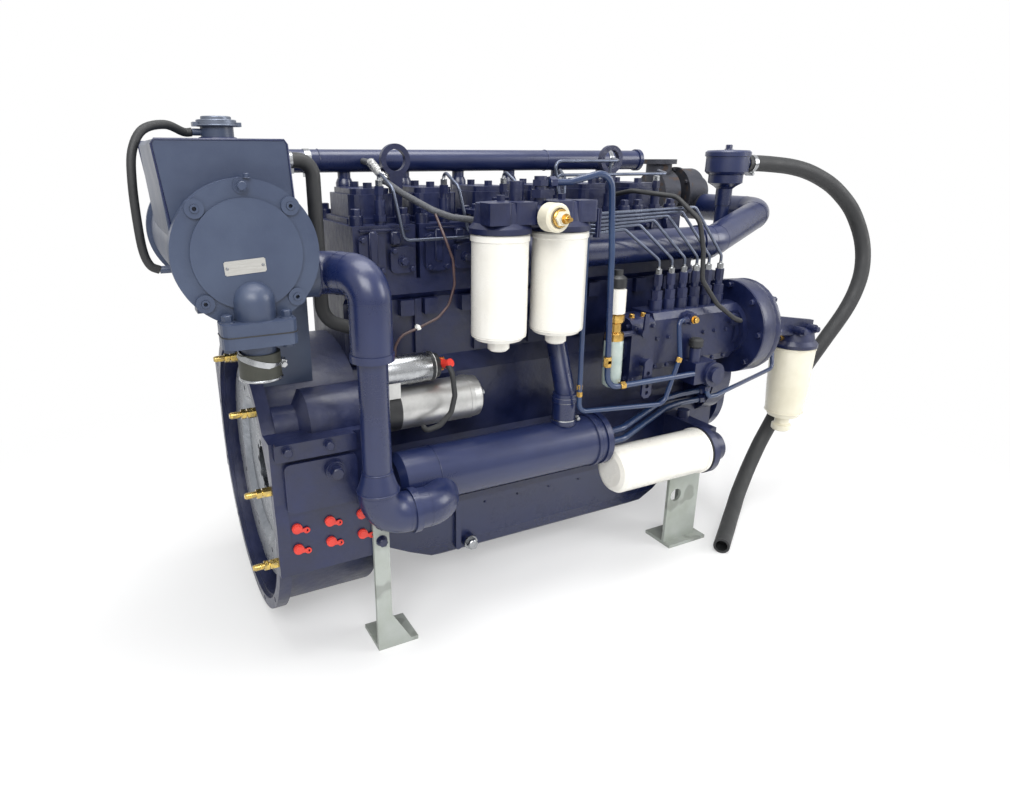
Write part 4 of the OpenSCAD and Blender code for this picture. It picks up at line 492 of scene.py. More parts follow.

# Sheet steel and tube: drum, tank, pan, pipes and the breather, rolled and welded, in the same
# enamel but smoother, their top faces painted lighter with dust and painted top light. The drum
# and the tank have a greyer coat than the rest, also painted lighter for the brighter light that
# falls on them.
sheet_navy = finish("sheet_navy", "101a3e", "18234a", blotch=6, rough=(0.24, 0.36),
                    grain=(700, 0.0001), coat=0.2, dust_and_top_light=("303a64", 0.35))
dress("coolant_rail coolant_pipe oil_cooler cooler_riser oil_pan intake_manifold intake_elbow "
      "breather crank_pulley coolant_pulley", sheet_navy)
drum_navy = finish("drum_navy", "303a51", "3a455b", blotch=9, rough=(0.34, 0.46),
                   grain=(420, 0.0005), coat=0.1, dust_and_top_light=("4d5369", 0.3), orange=55.0)
dress("heat_exchanger exchanger_cap outlet_flange expansion_tank", drum_navy)


def weld(bm, path, radius):
    """A round bead along a path in millimetres, proud of the seam by half its width."""
    tube(bm, [Vector(p) * MM for p in path], radius * MM, 10)


def ring_path(centre, axis, radius, steps=40, start=0.0, turn=math.tau):
    """Points in millimetres round an axis, which is 0, 1 or 2 for X, Y or Z."""
    path = []
    for k in range(steps + 1):
        a = start + turn * k / steps
        point = [0, 0, 0]
        point[(axis + 1) % 3] = radius * math.cos(a)
        point[(axis + 2) % 3] = radius * math.sin(a)
        path.append(tuple(c + p for c, p in zip(centre, point)))
    return path


# Weld beads: round the tank's plates and neck, where the tank meets the drum, and where the
# coolant pipe, the rail and the oil cooler are jointed.
drum_x, drum_z = -8, 467
neck_x, neck_y = -10, -170
tank_near, tank_far = -276, -30
tank_edge = [(-101, 497), (-113, 615), (-109, 621), (64, 621), (68, 615), (74, 497)]
coolant_x, coolant_y = 166, -322
rail_y, rail_z = 93, 590
cooler_y, cooler_z = -245, 34
bm = bmesh.new()
for y in (tank_near, tank_far):
    weld(bm, [(x, y, z) for x, z in tank_edge], 1.6)
weld(bm, ring_path((neck_x, neck_y, 624), 2, 26), 2.2)
weld(bm, ring_path((drum_x, tank_near, drum_z), 1, 95.5, 40, math.radians(-40),
                   math.radians(160)), 2.0)
for z, radius in ((98, 25.4), (64, 36.2)):
    weld(bm, ring_path((coolant_x, coolant_y, z), 2, radius), 1.3)
weld(bm, ring_path((104, -245, 424), 0, 37), 1.6)
for x in (216, 750, 930):
    weld(bm, ring_path((x, rail_y, rail_z), 0, 22.2), 1.2)
for x in CYLINDERS:
    weld(bm, ring_path((x, 102, 569), 2, 13.6), 1.4)
for x, radius, bead in ((656, 52.4, 1.3), (300, 52.2, 1.1)):
    weld(bm, ring_path((x, cooler_y, cooler_z), 0, radius), bead)
keep("weld_beads", bm, sheet_navy, "engine", 60)

# Heat exchanger cap: cast iron, held by four socket head screws in round bosses, with a vent
# plug in its square lug. The far end has six bolts. A thin aluminium plate is held on the
# near face by two drive rivets.
screw_tree, inputs = new_tree("socket_screw", {"Head": 0.6})
end_tree(screw_tree, inputs, [
    hoop(screw_tree, 0.38, inputs["Head"], 0.24, inputs["Head"] * 0.5, 24),
    disc(screw_tree, 24, 0.3, 0.3, 0.16)])


def drum_ring(radius, y, start, count):
    """Points on a circle round the drum's axis, evenly spaced from an angle in degrees."""
    angles = [math.radians(start + 360 / count * k) for k in range(count)]
    return [(drum_x + radius * math.cos(a), y, drum_z + radius * math.sin(a)) for a in angles]


grow("cap_screws", screw_tree, [(p, NEAR, 11.5) for p in drum_ring(92, -304, 45, 4)], drum_navy,
     "engine", "navy_paint", Head=0.85)
grow("cap_plug", bolt_tree, [((-8, -310, 561), NEAR, 12), ((0, -309, 571), UP, 8)], drum_navy,
     "engine", "navy_paint")
grow("drum_far_bolts", bolt_tree, [(p, FAR, 12) for p in drum_ring(84, 144, 30, 6)], drum_navy,
     "engine", "navy_paint")
plate_metal = finish("plate_metal", "c9c8c4", "b5b3ae", blotch=50, rough=(0.28, 0.4),
                     metal=0.85, grain=(900, 0.00006), streak=(1, 1, 12))
plate_size = (58, 1.4, 20)
plate_round = 1.5
plate_place = (-14, -313.5, 451)
plate_tilt = Matrix.Rotation(math.radians(-3.5), 4, "Y")
bm = bmesh.new()
block(bm, [-size / 2 for size in plate_size], [size / 2 for size in plate_size])
upright = [e for e in bm.edges if abs((e.verts[0].co - e.verts[1].co).normalized().y) > 0.9]
bmesh.ops.bevel(bm, geom=upright, offset=plate_round * MM, segments=3, affect="EDGES")
bmesh.ops.transform(bm, matrix=Matrix.Translation(Vector(plate_place) * MM) @ plate_tilt,
                    verts=bm.verts)
keep("bare_plate", bm, plate_metal, "engine", 30)
grow("plate_rivets", bolt_tree, [((-39, -314, 449.5), NEAR, 3.4), ((11, -314, 452.5), NEAR, 3.4)],
     bright_steel, "engine", "steel", Head=0.2)

# Sleeve under the water outlet: a short rubber hose on the outlet's neck, with a bright ring
# pressed in its lower end.
sleeve_rubber = finish("sleeve_rubber", "24261f", "33342c", blotch=25, rough=(0.45, 0.6),
                       grain=(700, 0.0002))
dress("outlet_hose", sleeve_rubber)
outlet_x, outlet_y = -6, -308
bm = bmesh.new()
weld(bm, ring_path((outlet_x, outlet_y, 285.5), 2, 30.2), 2.4)
keep("sleeve_ring", bm, bright_steel, "engine", 60)
worm_clamp("outlet_sleeve_clamp", (outlet_x, outlet_y, 314), (0.3, -0.1, 1), 31.6, 9.0)

# Expansion tank's cap: pressed and zinc plated, with two ears for the hand and a locking rim.
cap_metal = finish("cap_metal", "6f7684", "565d6c", blotch=30, rough=(0.32, 0.46), metal=0.6,
                   grain=(800, 0.0001))
dress("tank_cap", cap_metal)
bm = bmesh.new()
for z, radius, bead in ((649, 27.6, 1.6), (654, 20.6, 1.4), (642.4, 29.2, 1.5)):
    weld(bm, ring_path((neck_x, neck_y, z), 2, radius), bead)
keep("cap_beads", bm, cap_metal, "tank_cap", 60)

# Rubber hoses and leads that the engine holds all the way: overflow and vent hose of the
# tank, the braided loom over the heads, the starter's leads and the pump's cable.
def rounded_route(corners, bend, steps=6):
    """Corner points in millimetres turned into a path in metres with round bends."""
    points = [Vector(c) * MM for c in corners]
    bend = bend * MM
    path = [points[0]]
    for before, here, after in zip(points, points[1:], points[2:]):
        into, out = (here - before).normalized(), (after - here).normalized()
        turn = into.angle(out)
        if turn < 0.02:
            path.append(here)
            continue
        shift = min(bend * math.tan(turn / 2), (here - before).length * 0.49,
                    (after - here).length * 0.49)
        radius = shift / math.tan(turn / 2)
        inward = (out - into * into.dot(out)).normalized()
        centre = here - into * shift + inward * radius
        path += [centre - inward * radius * math.cos(turn * i / steps)
                 + into * radius * math.sin(turn * i / steps) for i in range(steps + 1)]
    path.append(points[-1])
    return path


def pipe_run(name, routes, bend, radius, material, sides=16):
    """One piece of pipes or hoses that turn with round bends at their corners."""
    bm = bmesh.new()
    for route in routes:
        tube(bm, rounded_route(route, bend), radius * MM, sides)
    return keep(name, bm, material, "engine", 50)


def held(name, points, radius, material, sides, parts=3, angle=50):
    """A soft piece that flows through its points."""
    bm = bmesh.new()
    tube(bm, flowing(points, parts), radius * MM, sides)
    return keep(name, bm, material, "engine", angle)


loom_grey = finish("loom_grey", "3b3d42", "54565b", blotch=300, rough=(0.45, 0.6),
                   grain=(1400, 0.0006))
lead_brown = finish("lead_brown", "3a2a2a", "4a3534", blotch=80, rough=(0.4, 0.55),
                    grain=(900, 0.0002))
overflow = held("overflow_hose_cover", [
    (-46.3, neck_y, 633), (-58, neck_y, 633), (-84, -190, 642), (-116, -213, 634),
    (-134, -225, 606), (-140, -230, 565), (-141, -229, 512), (-139, -227, 470),
    (-132, -226, 449), (-120.3, -225, 442)], 6.2, hose_rubber, 20, 6, 60)
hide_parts("overflow_hose")
pipe_run("vent_hose", [[(82.3, neck_y, 593), (132, neck_y, 593), (132, neck_y, 330),
                        (240, neck_y, 290), (240, -105.3, 290)]], 40, 12, hose_rubber,
         22)
worm_clamp("vent_hose_clamp", (94, neck_y, 593), FRONT, 12.6, 9.0)
pipe_run("loom", [[(303, 70, 590), (303, 40, 588), (310, -30, 554), (322, -84, 534),
                   (336, -124, 520), (352, -160, 506), (385, -166, 494), (440, -166, 486),
                   (455, -166, 430), (473.7, -166, 430)]], 24, 6, loom_grey)
pipe_run("sense_lead", [[(352, -167, 500), (349, -215, 460), (363, -215, 424),
                         (366, -215, 380), (354, -215, 344), (332, -214, 322),
                         (296, -212, 308), (262, -208, 296), (250, -206, 275),
                         (250, -206, 259.1)]], 30, 2.5, lead_brown, 10)
pipe_run("starter_lead_cover", [[(338, -220.6, 235.8), (338, -258, 240), (342, -262, 187),
                                 (334, -262, 155), (313, -258, 132), (290, -248, 122),
                                 (290, -235, 126.5)]], 18, 5, hose_rubber, 14)
pipe_run("pump_cable_cover", [[
    (820, -68.6, 520), (820, -82, 520), (830, -130, 530), (888, -200, 520), (903, -258, 476),
    (918, -262, 415), (922, -264, 353), (965, -271, 300), (1005, -286, 268),
    (1028, -290, 259.3), (1028, -271.2, 259.3)]], 30, 5, hose_rubber, 14)

# Foil wrapped plug on the loom's end at the heads: crumpled aluminium over the connector. A
# white nylon tie holds the sensor's lead.
foil = finish("foil", "d8d8d6", "9d9e9f", blotch=90, rough=(0.18, 0.36), metal=1.0,
              grain=(160, 0.003))
tie_white = finish("tie_white", "e4e4e0", "d4d4d0", blotch=40, rough=(0.4, 0.5))
held("loom_foil", [(304, 30, 588), (306, 10, 578), (308, -14, 566), (311, -32, 554)], 8.5, foil,
     14, 4)
held("lead_tie", [(296, -212, 305), (294, -212, 309), (290, -212, 311)], 4.2, tie_white,
     12)

# Oil cooler: a drawn steel drum with beaded end caps and six bolts in its front cover. Its
# riser is a steel pipe in a rubber sleeve, with a clamp at each end of the sleeve.
for name, z in (("riser_low_clamp", 90), ("riser_high_clamp", 136)):
    worm_clamp(name, (598, cooler_y, z), UP, 24.8, 10.0)
cooler_front, cooler_circle = 690, 43
bm = bmesh.new()
for x in (656, 664, 678, cooler_front):
    weld(bm, ring_path((x, cooler_y, cooler_z), 0, 54.6), 1.0)
keep("cooler_beads", bm, sheet_navy, "engine", 60)
grow("cooler_bolts", bolt_tree, [
    ((cooler_front, cooler_y + cooler_circle * math.cos(a),
      cooler_z + cooler_circle * math.sin(a)), FRONT, cover_bolt)
    for a in (math.radians(60 * k) for k in range(6))], sheet_navy, "engine", "navy_paint")

# Coolant rail: a long steel tube over the heads, held by straps, with a funnel shaped neck on
# the riser from each head.
for name, x in (("rail_strap_rear", 193), ("rail_strap_front", 930)):
    worm_clamp(name, (x, rail_y, rail_z), FRONT, 22.5, 12.0)


def lathe(bm, profile, centre, axis, sides):
    """Turns a profile of (radius, height) in millimetres round an axis through a point."""
    rings = []
    for radius, height in profile:
        ring = []
        for k in range(sides):
            a = math.tau * k / sides
            point = [0, 0, 0]
            point[axis] = height
            point[(axis + 1) % 3] = radius * math.cos(a)
            point[(axis + 2) % 3] = radius * math.sin(a)
            ring.append(bm.verts.new(Vector([c + p for c, p in zip(centre, point)]) * MM))
        rings.append(ring)
    for low, high in zip(rings, rings[1:]):
        for k in range(sides):
            n = (k + 1) % sides
            bm.faces.new((low[k], low[n], high[n], high[k]))
    bm.faces.new(tuple(reversed(rings[0])))
    bm.faces.new(tuple(rings[-1]))


bm = bmesh.new()
for x in CYLINDERS:
    lathe(bm, [(11, 0), (13.6, 4), (17.5, 40), (17.5, 50), (14, 58), (11, 60)],
          (x, 102, 498), 2, 24)
keep("riser_necks", bm, sheet_navy, "engine", 30)

# Spin-on canisters: pressed steel in off-white enamel, with a rolled rim where the can is
# folded on its base plate, a pressed bead near the closed end, and a rubber gasket under each
# head.
filter_white = finish("filter_white", "e6e4dd", "dcd9d0", blotch=12, rough=(0.22, 0.34),
                      grain=(500, 0.0001), coat=0.3)
dress("oil_filter fuel_filters", filter_white)
filter_cream = finish("filter_cream", "e0dbc8", "d2ccb6", blotch=12, rough=(0.28, 0.42),
                      grain=(500, 0.0001), coat=0.25)
dress("prefilter fuel_valve", filter_cream)
fuel_filter_x = (422, 546)
canister_y = -279
oil_filter_z = -33
prefilter_x, prefilter_y = 1355, -178
bm = bmesh.new()
for x in fuel_filter_x:
    for z, radius, bead in ((463.4, 50.6, 1.6), (296, 48.6, 1.1)):
        weld(bm, ring_path((x, canister_y, z), 2, radius), bead)
weld(bm, ring_path((938, canister_y, oil_filter_z), 0, 50.8), 1.6)
keep("filter_rims", bm, filter_white, "engine", 60)
bm = bmesh.new()
for z, radius, bead in ((135, 54.2, 1.5), (-36, 46.4, 1.2)):
    weld(bm, ring_path((prefilter_x, prefilter_y, z), 2, radius), bead)
keep("prefilter_rims", bm, filter_cream, "engine", 60)
# Black rubber of the filter gaskets; the same black is the painted shade in the outlet flanges'
# groove.
gasket = finish("gasket", "141414", "1d1d1d", blotch=30, rough=(0.5, 0.7))
bm = bmesh.new()
for x in fuel_filter_x:
    weld(bm, ring_path((x, canister_y, 475), 2, 49.5), 1.6)
weld(bm, ring_path((950, canister_y, oil_filter_z), 0, 50.5), 1.8)
weld(bm, ring_path((prefilter_x, prefilter_y, 141), 2, 53), 1.6)
keep("filter_gaskets", bm, gasket, "engine", 60)
bracket_bolt = 13
grow("bracket_bolts", bolt_tree, [(point, way, bracket_bolt) for point, way in (
    ((1323, -222, 188), NEAR), ((1369, -222, 190), NEAR), ((1132, -192, 206), FRONT),
    ((1132, -192, 248), FRONT), ((452, head_near, 504), UP), ((484, head_near, 504), UP))],
    cast_navy, "engine", "navy_paint")

# Fuel valve on the filter head: a turned cream cap round a brass core, which ends in a nipple,
# with a brass ring round the cap's mouth.
brass = finish("brass", "c6a25c", "a98748", blotch=70, rough=(0.22, 0.36), metal=1.0,
               grain=(900, 0.0001))
valve_x, valve_z = 484, 503
grow("valve_core", bolt_tree, [((valve_x, -383, valve_z), NEAR, 12)], brass, "engine",
     "yellow_zinc", Head=0.5, Tip=0.7)
bm = bmesh.new()
lathe(bm, [(13.4, 0), (14.8, -1.5), (14.8, -6), (13, -7.5), (9.5, -7.5)],
      (valve_x, -364.6, valve_z), 1, 36)
bmesh.ops.recalc_face_normals(bm, faces=bm.faces)
keep("valve_ring", bm, brass, "engine", 30)

# Injection pump: a cast body, its cover screws along the near side with a gap for the feed
# pump's plunger, screws round the governor behind it, and brass plugs. The pump's shaft is on
# the axis of the timing case's lobe.
pump_near, governor_near, governor_back = -258.9, -262.9, 745
grow("pump_screws", bolt_tree,
     [((815 + 33 * i, pump_near, z), NEAR, 7) for i in (0, 1, 2, 4, 5, 6) for z in (238, 178)]
     + [((governor_back, LOBE_Y + dy, LOBE_Z + dz), BACK, 8) for dy, dz in (
         (-34, 40), (30, 40), (-34, -70), (30, -70))]
     + [((x, governor_near, z), NEAR, 7) for x in (753, 799) for z in (160, 268)],
     cast_navy, "engine", "navy_paint")
grow("pump_plugs", bolt_tree, [((893, -282, 275), NEAR, 12), ((760, -240, 285), UP, 10),
                               ((790, -240, 285), UP, 10)], brass, "engine", "yellow_zinc")

# High pressure lines: drawn steel tube of 6 mm from the pump's holders through a comb clamp to
# the injectors, with union nuts at both ends. They replace the plain CAD tubes.
line_steel = finish("line_steel", "666c7b", "4d5363", blotch=30, rough=(0.26, 0.4), metal=0.85,
                    grain=(900, 0.0001))


OUTLETS = [833 + 35 * i for i in range(6)]
outlet_row_y = -227.9
injector_y, injector_top = -98, 548
heads_gap_y = -150


def line_route(i):
    """One line from its outlet up over the comb clamp and along the heads to its injector."""
    x, z, end = OUTLETS[i], 455 + 7.5 * i, CYLINDERS[i]
    route = [(x, outlet_row_y, 367.2), (x, outlet_row_y, 395.2), (746 + 36.8 * i, -215, z + 6),
             (685, -205, z), (640, heads_gap_y, z)]
    if i < 3:
        route += [(end + 26, heads_gap_y, z), (end + 8, -144, 546), (end, injector_y, 574)]
    elif i == 3:
        route += [(645, -146, 558), (end, injector_y, 576)]
    else:
        top = 590 if i == 4 else 564
        route += [(615, heads_gap_y, top), (end - 20, heads_gap_y, top),
                  (end, injector_y, top + 6)]
    return route + [(end, injector_y, injector_top)]


lines = pipe_run("injection_tubes", [line_route(i) for i in range(6)], 13, 3.1, line_steel,
                 14)
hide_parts("injection_lines")
grow("line_nuts", bolt_tree,
     [((x, outlet_row_y, 366), UP, 12) for x in OUTLETS]
     + [((x, injector_y, injector_top - 2), UP, 12) for x in CYLINDERS], bright_steel, "engine",
     "steel", Head=0.9, Washer=0.6, Tip=0.4)
clamp_thick = 3.5
bm = bmesh.new()
for x in (681, 686):
    block(bm, (x, -211, 447), (x + clamp_thick, -198, 502))
keep("comb_clamp", bm, cast_navy, "engine", 30)

# Low pressure fuel and oil pipes: painted steel tube with banjo ends, brass unions where the
# fuel pipes are jointed, and painted nuts at the ends.
pipe_blue = finish("pipe_blue", "18264a", "20385a", blotch=5, rough=(0.26, 0.38), coat=0.2,
                   grain=(800, 0.0001))
main_fuel = pipe_run("main_fuel_pipe", [[
    (513.3, -283, 556), (560, -283, 556), (645, -290, 576), (657, -290, 430),
    (668, -290, 160), (899, -290, 158)]], 28, 6, pipe_blue, 18)
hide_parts("fuel_pipes")
pipe_run("thin_fuel_pipes", [
    [(606, -279, 474), (606, -284, 118), (822, -290, 102), (856, -290, 200),
     (856, -276, 275), (879.5, -276, 275)],
    [(1306.7, -178, 165), (1272, -178, 165), (1252, -205, 100), (980, -286, 96),
     (951, -286, 96), (951, -286, 123.2)]], 20, 5, pipe_blue, 14)
pipe_run("oil_pipes", [
    [(690.3, -262, 48), (740, -262, 52), (930, -180, 62), (980, -170, 62), (1061.7, -170, 62)],
    [(690.3, -268, 28), (740, -268, 30), (930, -184, 40), (980, -172, 40),
     (1061.7, -172, 40)]], 40, 7, pipe_blue, 18)
grow("pipe_unions", bolt_tree, [
    ((664, -290, 226), (0.04, 0, -1), 15), ((664.5, -290, 205), (0.04, 0, 1), 15),
    ((700, -290, 160), FRONT, 14), ((606, -283, 150), UP, 11), ((606, -282, 175), DOWN, 11),
    ((852, -290, 190), (0.33, 0, 1), 11), ((1296, -178, 165), FRONT, 12)], brass, "engine",
    "yellow_zinc", Head=0.8, Washer=0.55)
grow("pipe_nuts", bolt_tree, [
    ((691, -262, 48), FRONT, 19), ((691, -268, 28), FRONT, 19), ((1061, -170, 62), BACK, 19),
    ((1061, -172, 40), BACK, 19), ((514, -283, 556), FRONT, 18), ((879, -276, 275), BACK, 12),
    ((951, -286, 121), DOWN, 12)], sheet_navy, "engine", "navy_paint", Head=0.7, Washer=0.55)

# Stop solenoid over its sediment bowl: a white can with a dark cap, a brass ring and a bowl of
# clear plastic that is clouded by fuel.
bowl_clear = finish("bowl_clear", "a9b3ad", "8fa09c", blotch=30, rough=(0.08, 0.16), coat=0.6,
                    grain=(300, 0.0002))
black_plastic = finish("black_plastic", "151619", "1e2023", blotch=30, rough=(0.35, 0.5),
                       grain=(500, 0.0002))
SOLENOID = (700, -262, 152)
for name, profile, material, slot in (
        ("sediment_bowl", [(12, 0), (19, 6), (20, 30), (19.4, 96), (18, 98)], bowl_clear,
         "white_paint"),
        ("bowl_ring", [(17, 97), (19, 98), (19.4, 100), (19.4, 110), (19, 112), (13, 116),
                       (13, 132), (17, 135), (18, 137), (18, 149), (14, 152)], brass,
         "yellow_zinc"),
        ("solenoid_can", [(14, 151), (18.4, 153), (18.4, 200), (14, 203)], filter_white,
         "white_paint"),
        ("solenoid_cap", [(14, 202), (17.5, 205), (17.5, 222), (12, 226), (9, 228), (9, 238)],
         black_plastic, "black_plastic")):
    bm = bmesh.new()
    lathe(bm, profile, SOLENOID, 2, 36)
    solenoid = keep(name, bm, material, "engine", 35)
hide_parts("stop_solenoid")
bm = bmesh.new()
lathe(bm, [(6, 0), (6, 31)], (716, SOLENOID[1], 258), 0, 20)
keep("solenoid_arm", bm, cast_navy, "engine", 35)

# Starter: a die cast nose, a bright drawn case with a black band, and its solenoid on top in
# plated steel with a black plastic end, copper studs and a red boot on the battery terminal.
light_alloy = finish("light_alloy", "c0c0be", "a9a9a8", blotch=30, rough=(0.3, 0.42),
                     metal=0.9, grain=(600, 0.00012))
dress("pistons_outer pistons_middle pistons_centre turbo_rotor starter_motor", light_alloy)
STARTER_Y, STARTER_Z = -192.3, 155.8
starter_axis = (0, STARTER_Y, STARTER_Z)
solenoid_axis = (0, STARTER_Y - 14, STARTER_Z + 76)
for name, profile, place, material, slot in (
        ("starter_band", [(41.5, 217), (42.9, 218), (42.9, 251), (41.5, 252)],
         starter_axis, black_plastic, "black_steel"),
        ("starter_hoops", [(41.8, 392), (42.8, 393), (42.8, 401), (41.8, 402)],
         starter_axis, light_alloy, "alloy"),
        ("solenoid_case", [(26.6, 220), (27.7, 222), (27.7, 312), (26.6, 314)],
         solenoid_axis, bright_steel, "steel"),
        ("solenoid_end", [(26, 312), (27.9, 313), (27.9, 319), (24, 321), (23, 331), (20, 333)],
         solenoid_axis, black_plastic, "black_plastic")):
    bm = bmesh.new()
    lathe(bm, profile, place, 0, 48)
    keep(name, bm, material, "engine", 35)
copper = finish("copper", "b8743f", "96592e", blotch=60, rough=(0.25, 0.4), metal=1.0,
                grain=(900, 0.0002))
dress("starter_armature", copper)
grow("starter_studs", bolt_tree, [((332, -217, 240), FRONT, 11), ((332, -197, 240), FRONT, 11),
                                  ((332, -206, 222), FRONT, 8)], copper, "engine",
     "copper_windings", Head=0.7, Tip=0.9)
grow("starter_bolts", bolt_tree, [((421, STARTER_Y - 24, STARTER_Z + 12), FRONT, 8),
                                  ((421, STARTER_Y + 24, STARTER_Z - 12), FRONT, 8),
                                  ((202, STARTER_Y - 46, STARTER_Z - 20), FRONT, 13),
                                  ((202, STARTER_Y + 30, STARTER_Z - 40), FRONT, 13)],
     bright_steel, "engine", "steel")
plug_red = finish("plug_red", "d2382a", "c12e23", blotch=40, rough=(0.35, 0.48),
                  grain=(500, 0.0001))
held("battery_boot", [(338, -210, 238), (338, -222, 238), (339, -236, 240), (342, -246, 245)],
     8.0, plug_red, 18)

# Shipping plugs: soft red plastic in the side pad's threaded holes, each with a low dome and a
# ring to pull it out.
dress("housing_plugs", plug_red)
plug_x, plug_z = (34, 92, 150), (-2, -42)
bm = bmesh.new()
for x in plug_x:
    for z in plug_z:
        weld(bm, ring_path((x + 16.5, -274.6, z - 6.5), 1, 4.2, 20), 1.7)
        lathe(bm, [(7.2, -276.8), (6.6, -278.2), (2.5, -278.4)], (x, 0, z), 1, 24)
bmesh.ops.recalc_face_normals(bm, faces=bm.faces)
keep("plug_rings", bm, plug_red, "engine", 40)

# Flange studs and nuts: steel in yellow passivated zinc, screwed into the housing's flange.
# The ends are turned down to a short tip, behind eight rounds of thread.
yellow_zinc = finish("yellow_zinc", "cdb05e", "9a8a62", blotch=160, rough=(0.2, 0.34),
                     metal=1.0, grain=(900, 0.0001))
dress("flange_studs", yellow_zinc)
stud_circle = 265.1
stud_angles = (105, 135, 165, 195)
thread_pitch = 1.6
bm = bmesh.new()
for degrees in stud_angles:
    y, z = (stud_circle * part(math.radians(degrees)) for part in (math.cos, math.sin))
    lathe(bm, [(4.0, -43), (5.0, -40.5), (5.4, -40), (5.4, -25)], (0, y, z), 0, 20)
    for k in range(8):
        weld(bm, ring_path((-26.5 - thread_pitch * k, y, z), 0, 5.3, 20), 0.45)
keep("stud_tips", bm, yellow_zinc, "engine", 40)

# Lobe of the timing case: a turned rim over the pump's gear, with the groove of the joint
# between the case and its cover.
lobe_rim, lobe_groove, lobe_edge = 106.2, 105.3, 103
bm = bmesh.new()
lathe(bm, [(lobe_edge, 1063), (lobe_rim, 1064.5), (lobe_rim, 1098.8), (lobe_groove, 1099.6),
           (lobe_groove, 1100.6), (lobe_rim, 1101.4), (lobe_rim, 1113.2), (lobe_edge, 1114.8)],
      (0, LOBE_Y, LOBE_Z), 0, 96)
keep("lobe_rim", bm, cast_navy, "engine", 50)

# Outlet's two flanges: cast plates with a dark bead in the groove between them, as painted shade
# of the groove, and two bolts through the upper one's ears.
groove_near, groove_far, groove_half, groove_z = -346.2, -291.8, 54.2, 357
groove_left, groove_right = outlet_x - groove_half, outlet_x + groove_half
bm = bmesh.new()
tube(bm, rounded_route([
    (outlet_x, groove_near, groove_z), (groove_right, groove_near, groove_z),
    (groove_right, groove_far, groove_z), (groove_left, groove_far, groove_z),
    (groove_left, groove_near, groove_z), (outlet_x, groove_near, groove_z)], 15), 0.9 * MM, 10)
keep("outlet_gasket", bm, gasket, "engine", 60)
grow("outlet_bolts", bolt_tree, [((outlet_x + dx, -322, 375), UP, 14) for dx in (-42, 42)],
     drum_navy, "engine", "navy_paint")

# Oil pan: pressed and welded sheet with a plated steel drain plug near its lowest edge, which
# is screwed into a welded boss.
grow("drain_plug", bolt_tree, [((430, -158, -196), NEAR, 22)], bright_steel, "engine", "steel",
     Head=0.5)

# Breather: a spun steel can on its elbow. One cap screw holds its lid, and two bolts hold the
# elbow's foot on the case.
grow("breather_screw", bolt_tree, [((1182, -50, 614), UP, 14), ((1048, -66, 348), UP, 9),
                                   ((1048, -34, 348), UP, 9)], sheet_navy, "engine",
     "navy_paint")

# Legs: flame cut and welded angle in light grey paint, scuffed at the feet.
leg_grey = finish("leg_grey", "a4a9a5", "92988f", blotch=10, rough=(0.4, 0.55),
                  grain=(500, 0.0001), dust_and_top_light=("80827c", 0.4), spots=("6d706b", 14.0, 0.58, 0.5))
dress("support_legs", leg_grey)

# Running gear and belt drive: forged and turned steel inside, a grey iron flywheel, and the
# rubber belt with its pulleys at the front. The pieces that others replace are dressed alike.
machined_steel = finish("machined_steel", "8b8f95", "767a80", blotch=40, rough=(0.24, 0.38),
                        metal=1.0, grain=(900, 0.00008))
dress("crankshaft ring_gear camshaft pump_drive starter_pinion injection_lines flywheel",
      machined_steel)
dress("drive_belt alternator_pulley primer_plunger overflow_hose breather_hose", hose_rubber)
dress("fuel_pipes", pipe_blue)
dress("stop_solenoid", filter_white)

# Turbocharger: a cast iron housing with six bolts round its turbine side and four in the
# flange on the manifold.
turbo_y, turbo_z, turbo_circle, turbo_flange_z = 190, 505, 58, 432
grow("turbo_bolts", bolt_tree,
     [((1242, turbo_y + turbo_circle * math.cos(a), turbo_z + turbo_circle * math.sin(a)),
       BACK, cover_bolt) for a in (math.radians(30 + 60 * k) for k in range(6))]
     + [((1103, turbo_y + dy, turbo_flange_z + dz), BACK, bracket_bolt)
        for dy in (-37, 37) for dz in (-36, 38)],
     cast_iron, "engine", "cast_housing")


# Studio: a pale floor that keeps the shadow and fades to white round the engine, one big soft
# lamp over the camera's left shoulder, one above, one from the front end, a white surround.
def lamp(name, place, target, size, power):
    """A square or oblong area lamp that faces a target; metres and watts."""
    data = bpy.data.lights.new(name, "AREA")
    data.shape = "RECTANGLE"
    data.size, data.size_y = size
    data.energy = power
    unit = bpy.data.objects.new(name, data)
    unit.location = place
    unit.rotation_euler = (Vector(target) - Vector(place)).to_track_quat("-Z", "Y").to_euler()
    bpy.context.scene.collection.objects.link(unit)


lamp("key_lamp", (-1.0, -2.7, 2.4), (0.45, 0, 0.2), (2.4, 1.6), 100)
lamp("top_lamp", (0.6, -0.3, 2.9), (0.5, 0, 0.3), (2.6, 1.4), 75)
lamp("front_lamp", (3.2, -1.8, 1.5), (0.6, 0, 0.2), (1.6, 1.6), 45)

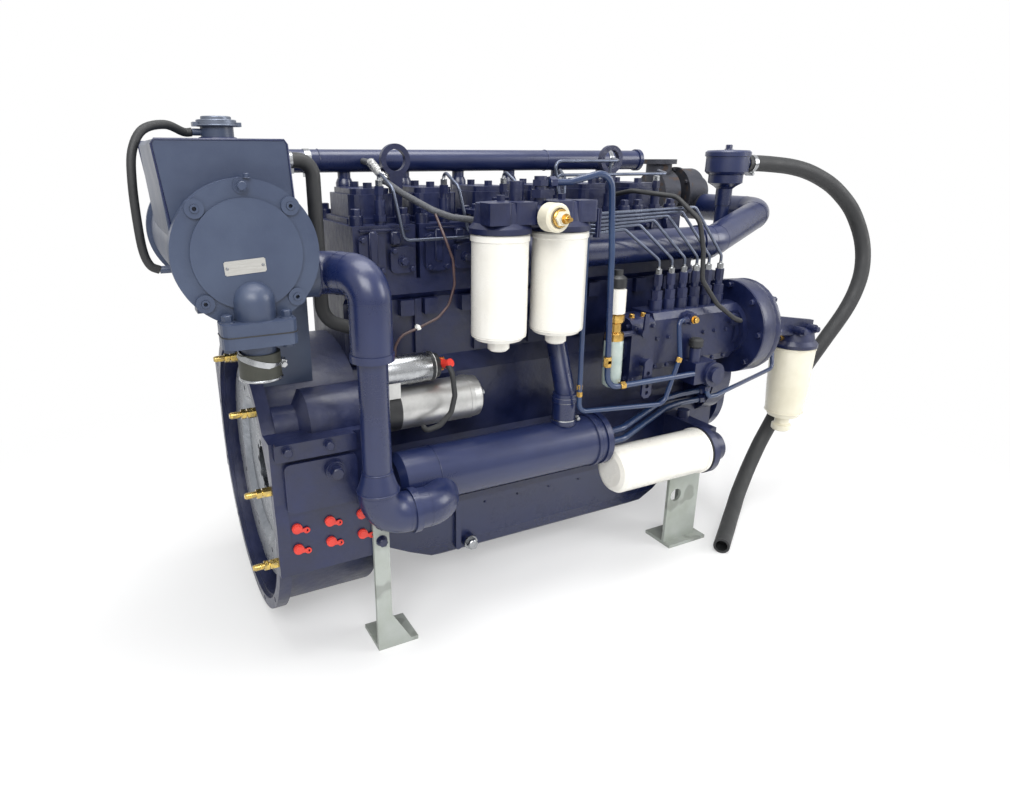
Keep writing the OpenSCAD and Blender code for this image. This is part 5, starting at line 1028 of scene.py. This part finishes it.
# The surround is white to the camera and in reflections, and dimmer where it lights the paint.
seen_strength, light_strength = 1.0, 0.45
world = bpy.data.worlds.new("white_surround")
bpy.context.scene.world = world
world.use_nodes = True
tree = world.node_tree
tree.nodes.clear()
rays = tree.nodes.new("ShaderNodeLightPath")
seen = Value(tree, rays.outputs["Is Camera Ray"]) + Value(tree, rays.outputs["Is Glossy Ray"]) \
    + Value(tree, rays.outputs["Is Transmission Ray"])
seen = add(tree, "ShaderNodeMath", {"operation": "MINIMUM"}, {0: seen, 1: 1.0})
surround = add(tree, "ShaderNodeBackground", values={
    "Color": (1, 1, 1, 1), "Strength": seen * (seen_strength - light_strength) + light_strength})
world_out = tree.nodes.new("ShaderNodeOutputWorld")
tree.links.new(surround.socket, world_out.inputs[0])

# The floor lies just under the feet. Seen by the camera, it fades from paint to plain white
# between two distances in metres from the engine's middle.
floor_level = -300.5 * MM
reach = 12
fade_start, fade_end, fade_least = 0.75, 1.7, 0.35
floor_middle = (0.5, -0.05, -0.3)
floor_mesh = bpy.data.meshes.new("floor")
floor_mesh.from_pydata([(-reach, -reach, floor_level), (reach, -reach, floor_level),
                        (reach, reach, floor_level), (-reach, reach, floor_level)],
                       [], [(0, 1, 2, 3)])
floor_paint = bpy.data.materials.new("floor_paint")
floor_paint.use_nodes = True
tree = floor_paint.node_tree
paint = tree.nodes["Principled BSDF"]
paint.inputs["Base Color"].default_value = (0.9, 0.9, 0.9, 1)
paint.inputs["Roughness"].default_value = 0.9
white = add(tree, "ShaderNodeEmission", values={"Color": (1, 1, 1, 1), "Strength": 1.0})
middle = add(tree, "ShaderNodeMapping", values={
    "Vector": add(tree, "ShaderNodeTexCoord", output=3),
    "Location": [-part for part in floor_middle]})
away = add(tree, "ShaderNodeVectorMath", {"operation": "LENGTH"}, {0: middle}, output=1)
fade = add(tree, "ShaderNodeMapRange", values={
    0: away, 1: fade_start, 2: fade_end, 3: fade_least, 4: 1.0})
camera_ray = Value(tree, tree.nodes.new("ShaderNodeLightPath").outputs["Is Camera Ray"])
mixed = add(tree, "ShaderNodeMixShader", values={
    0: fade * camera_ray, 1: Value(tree, paint.outputs[0]), 2: white})
tree.links.new(mixed.socket, tree.nodes["Material Output"].inputs[0])
floor = link("floor", floor_mesh, floor_paint)
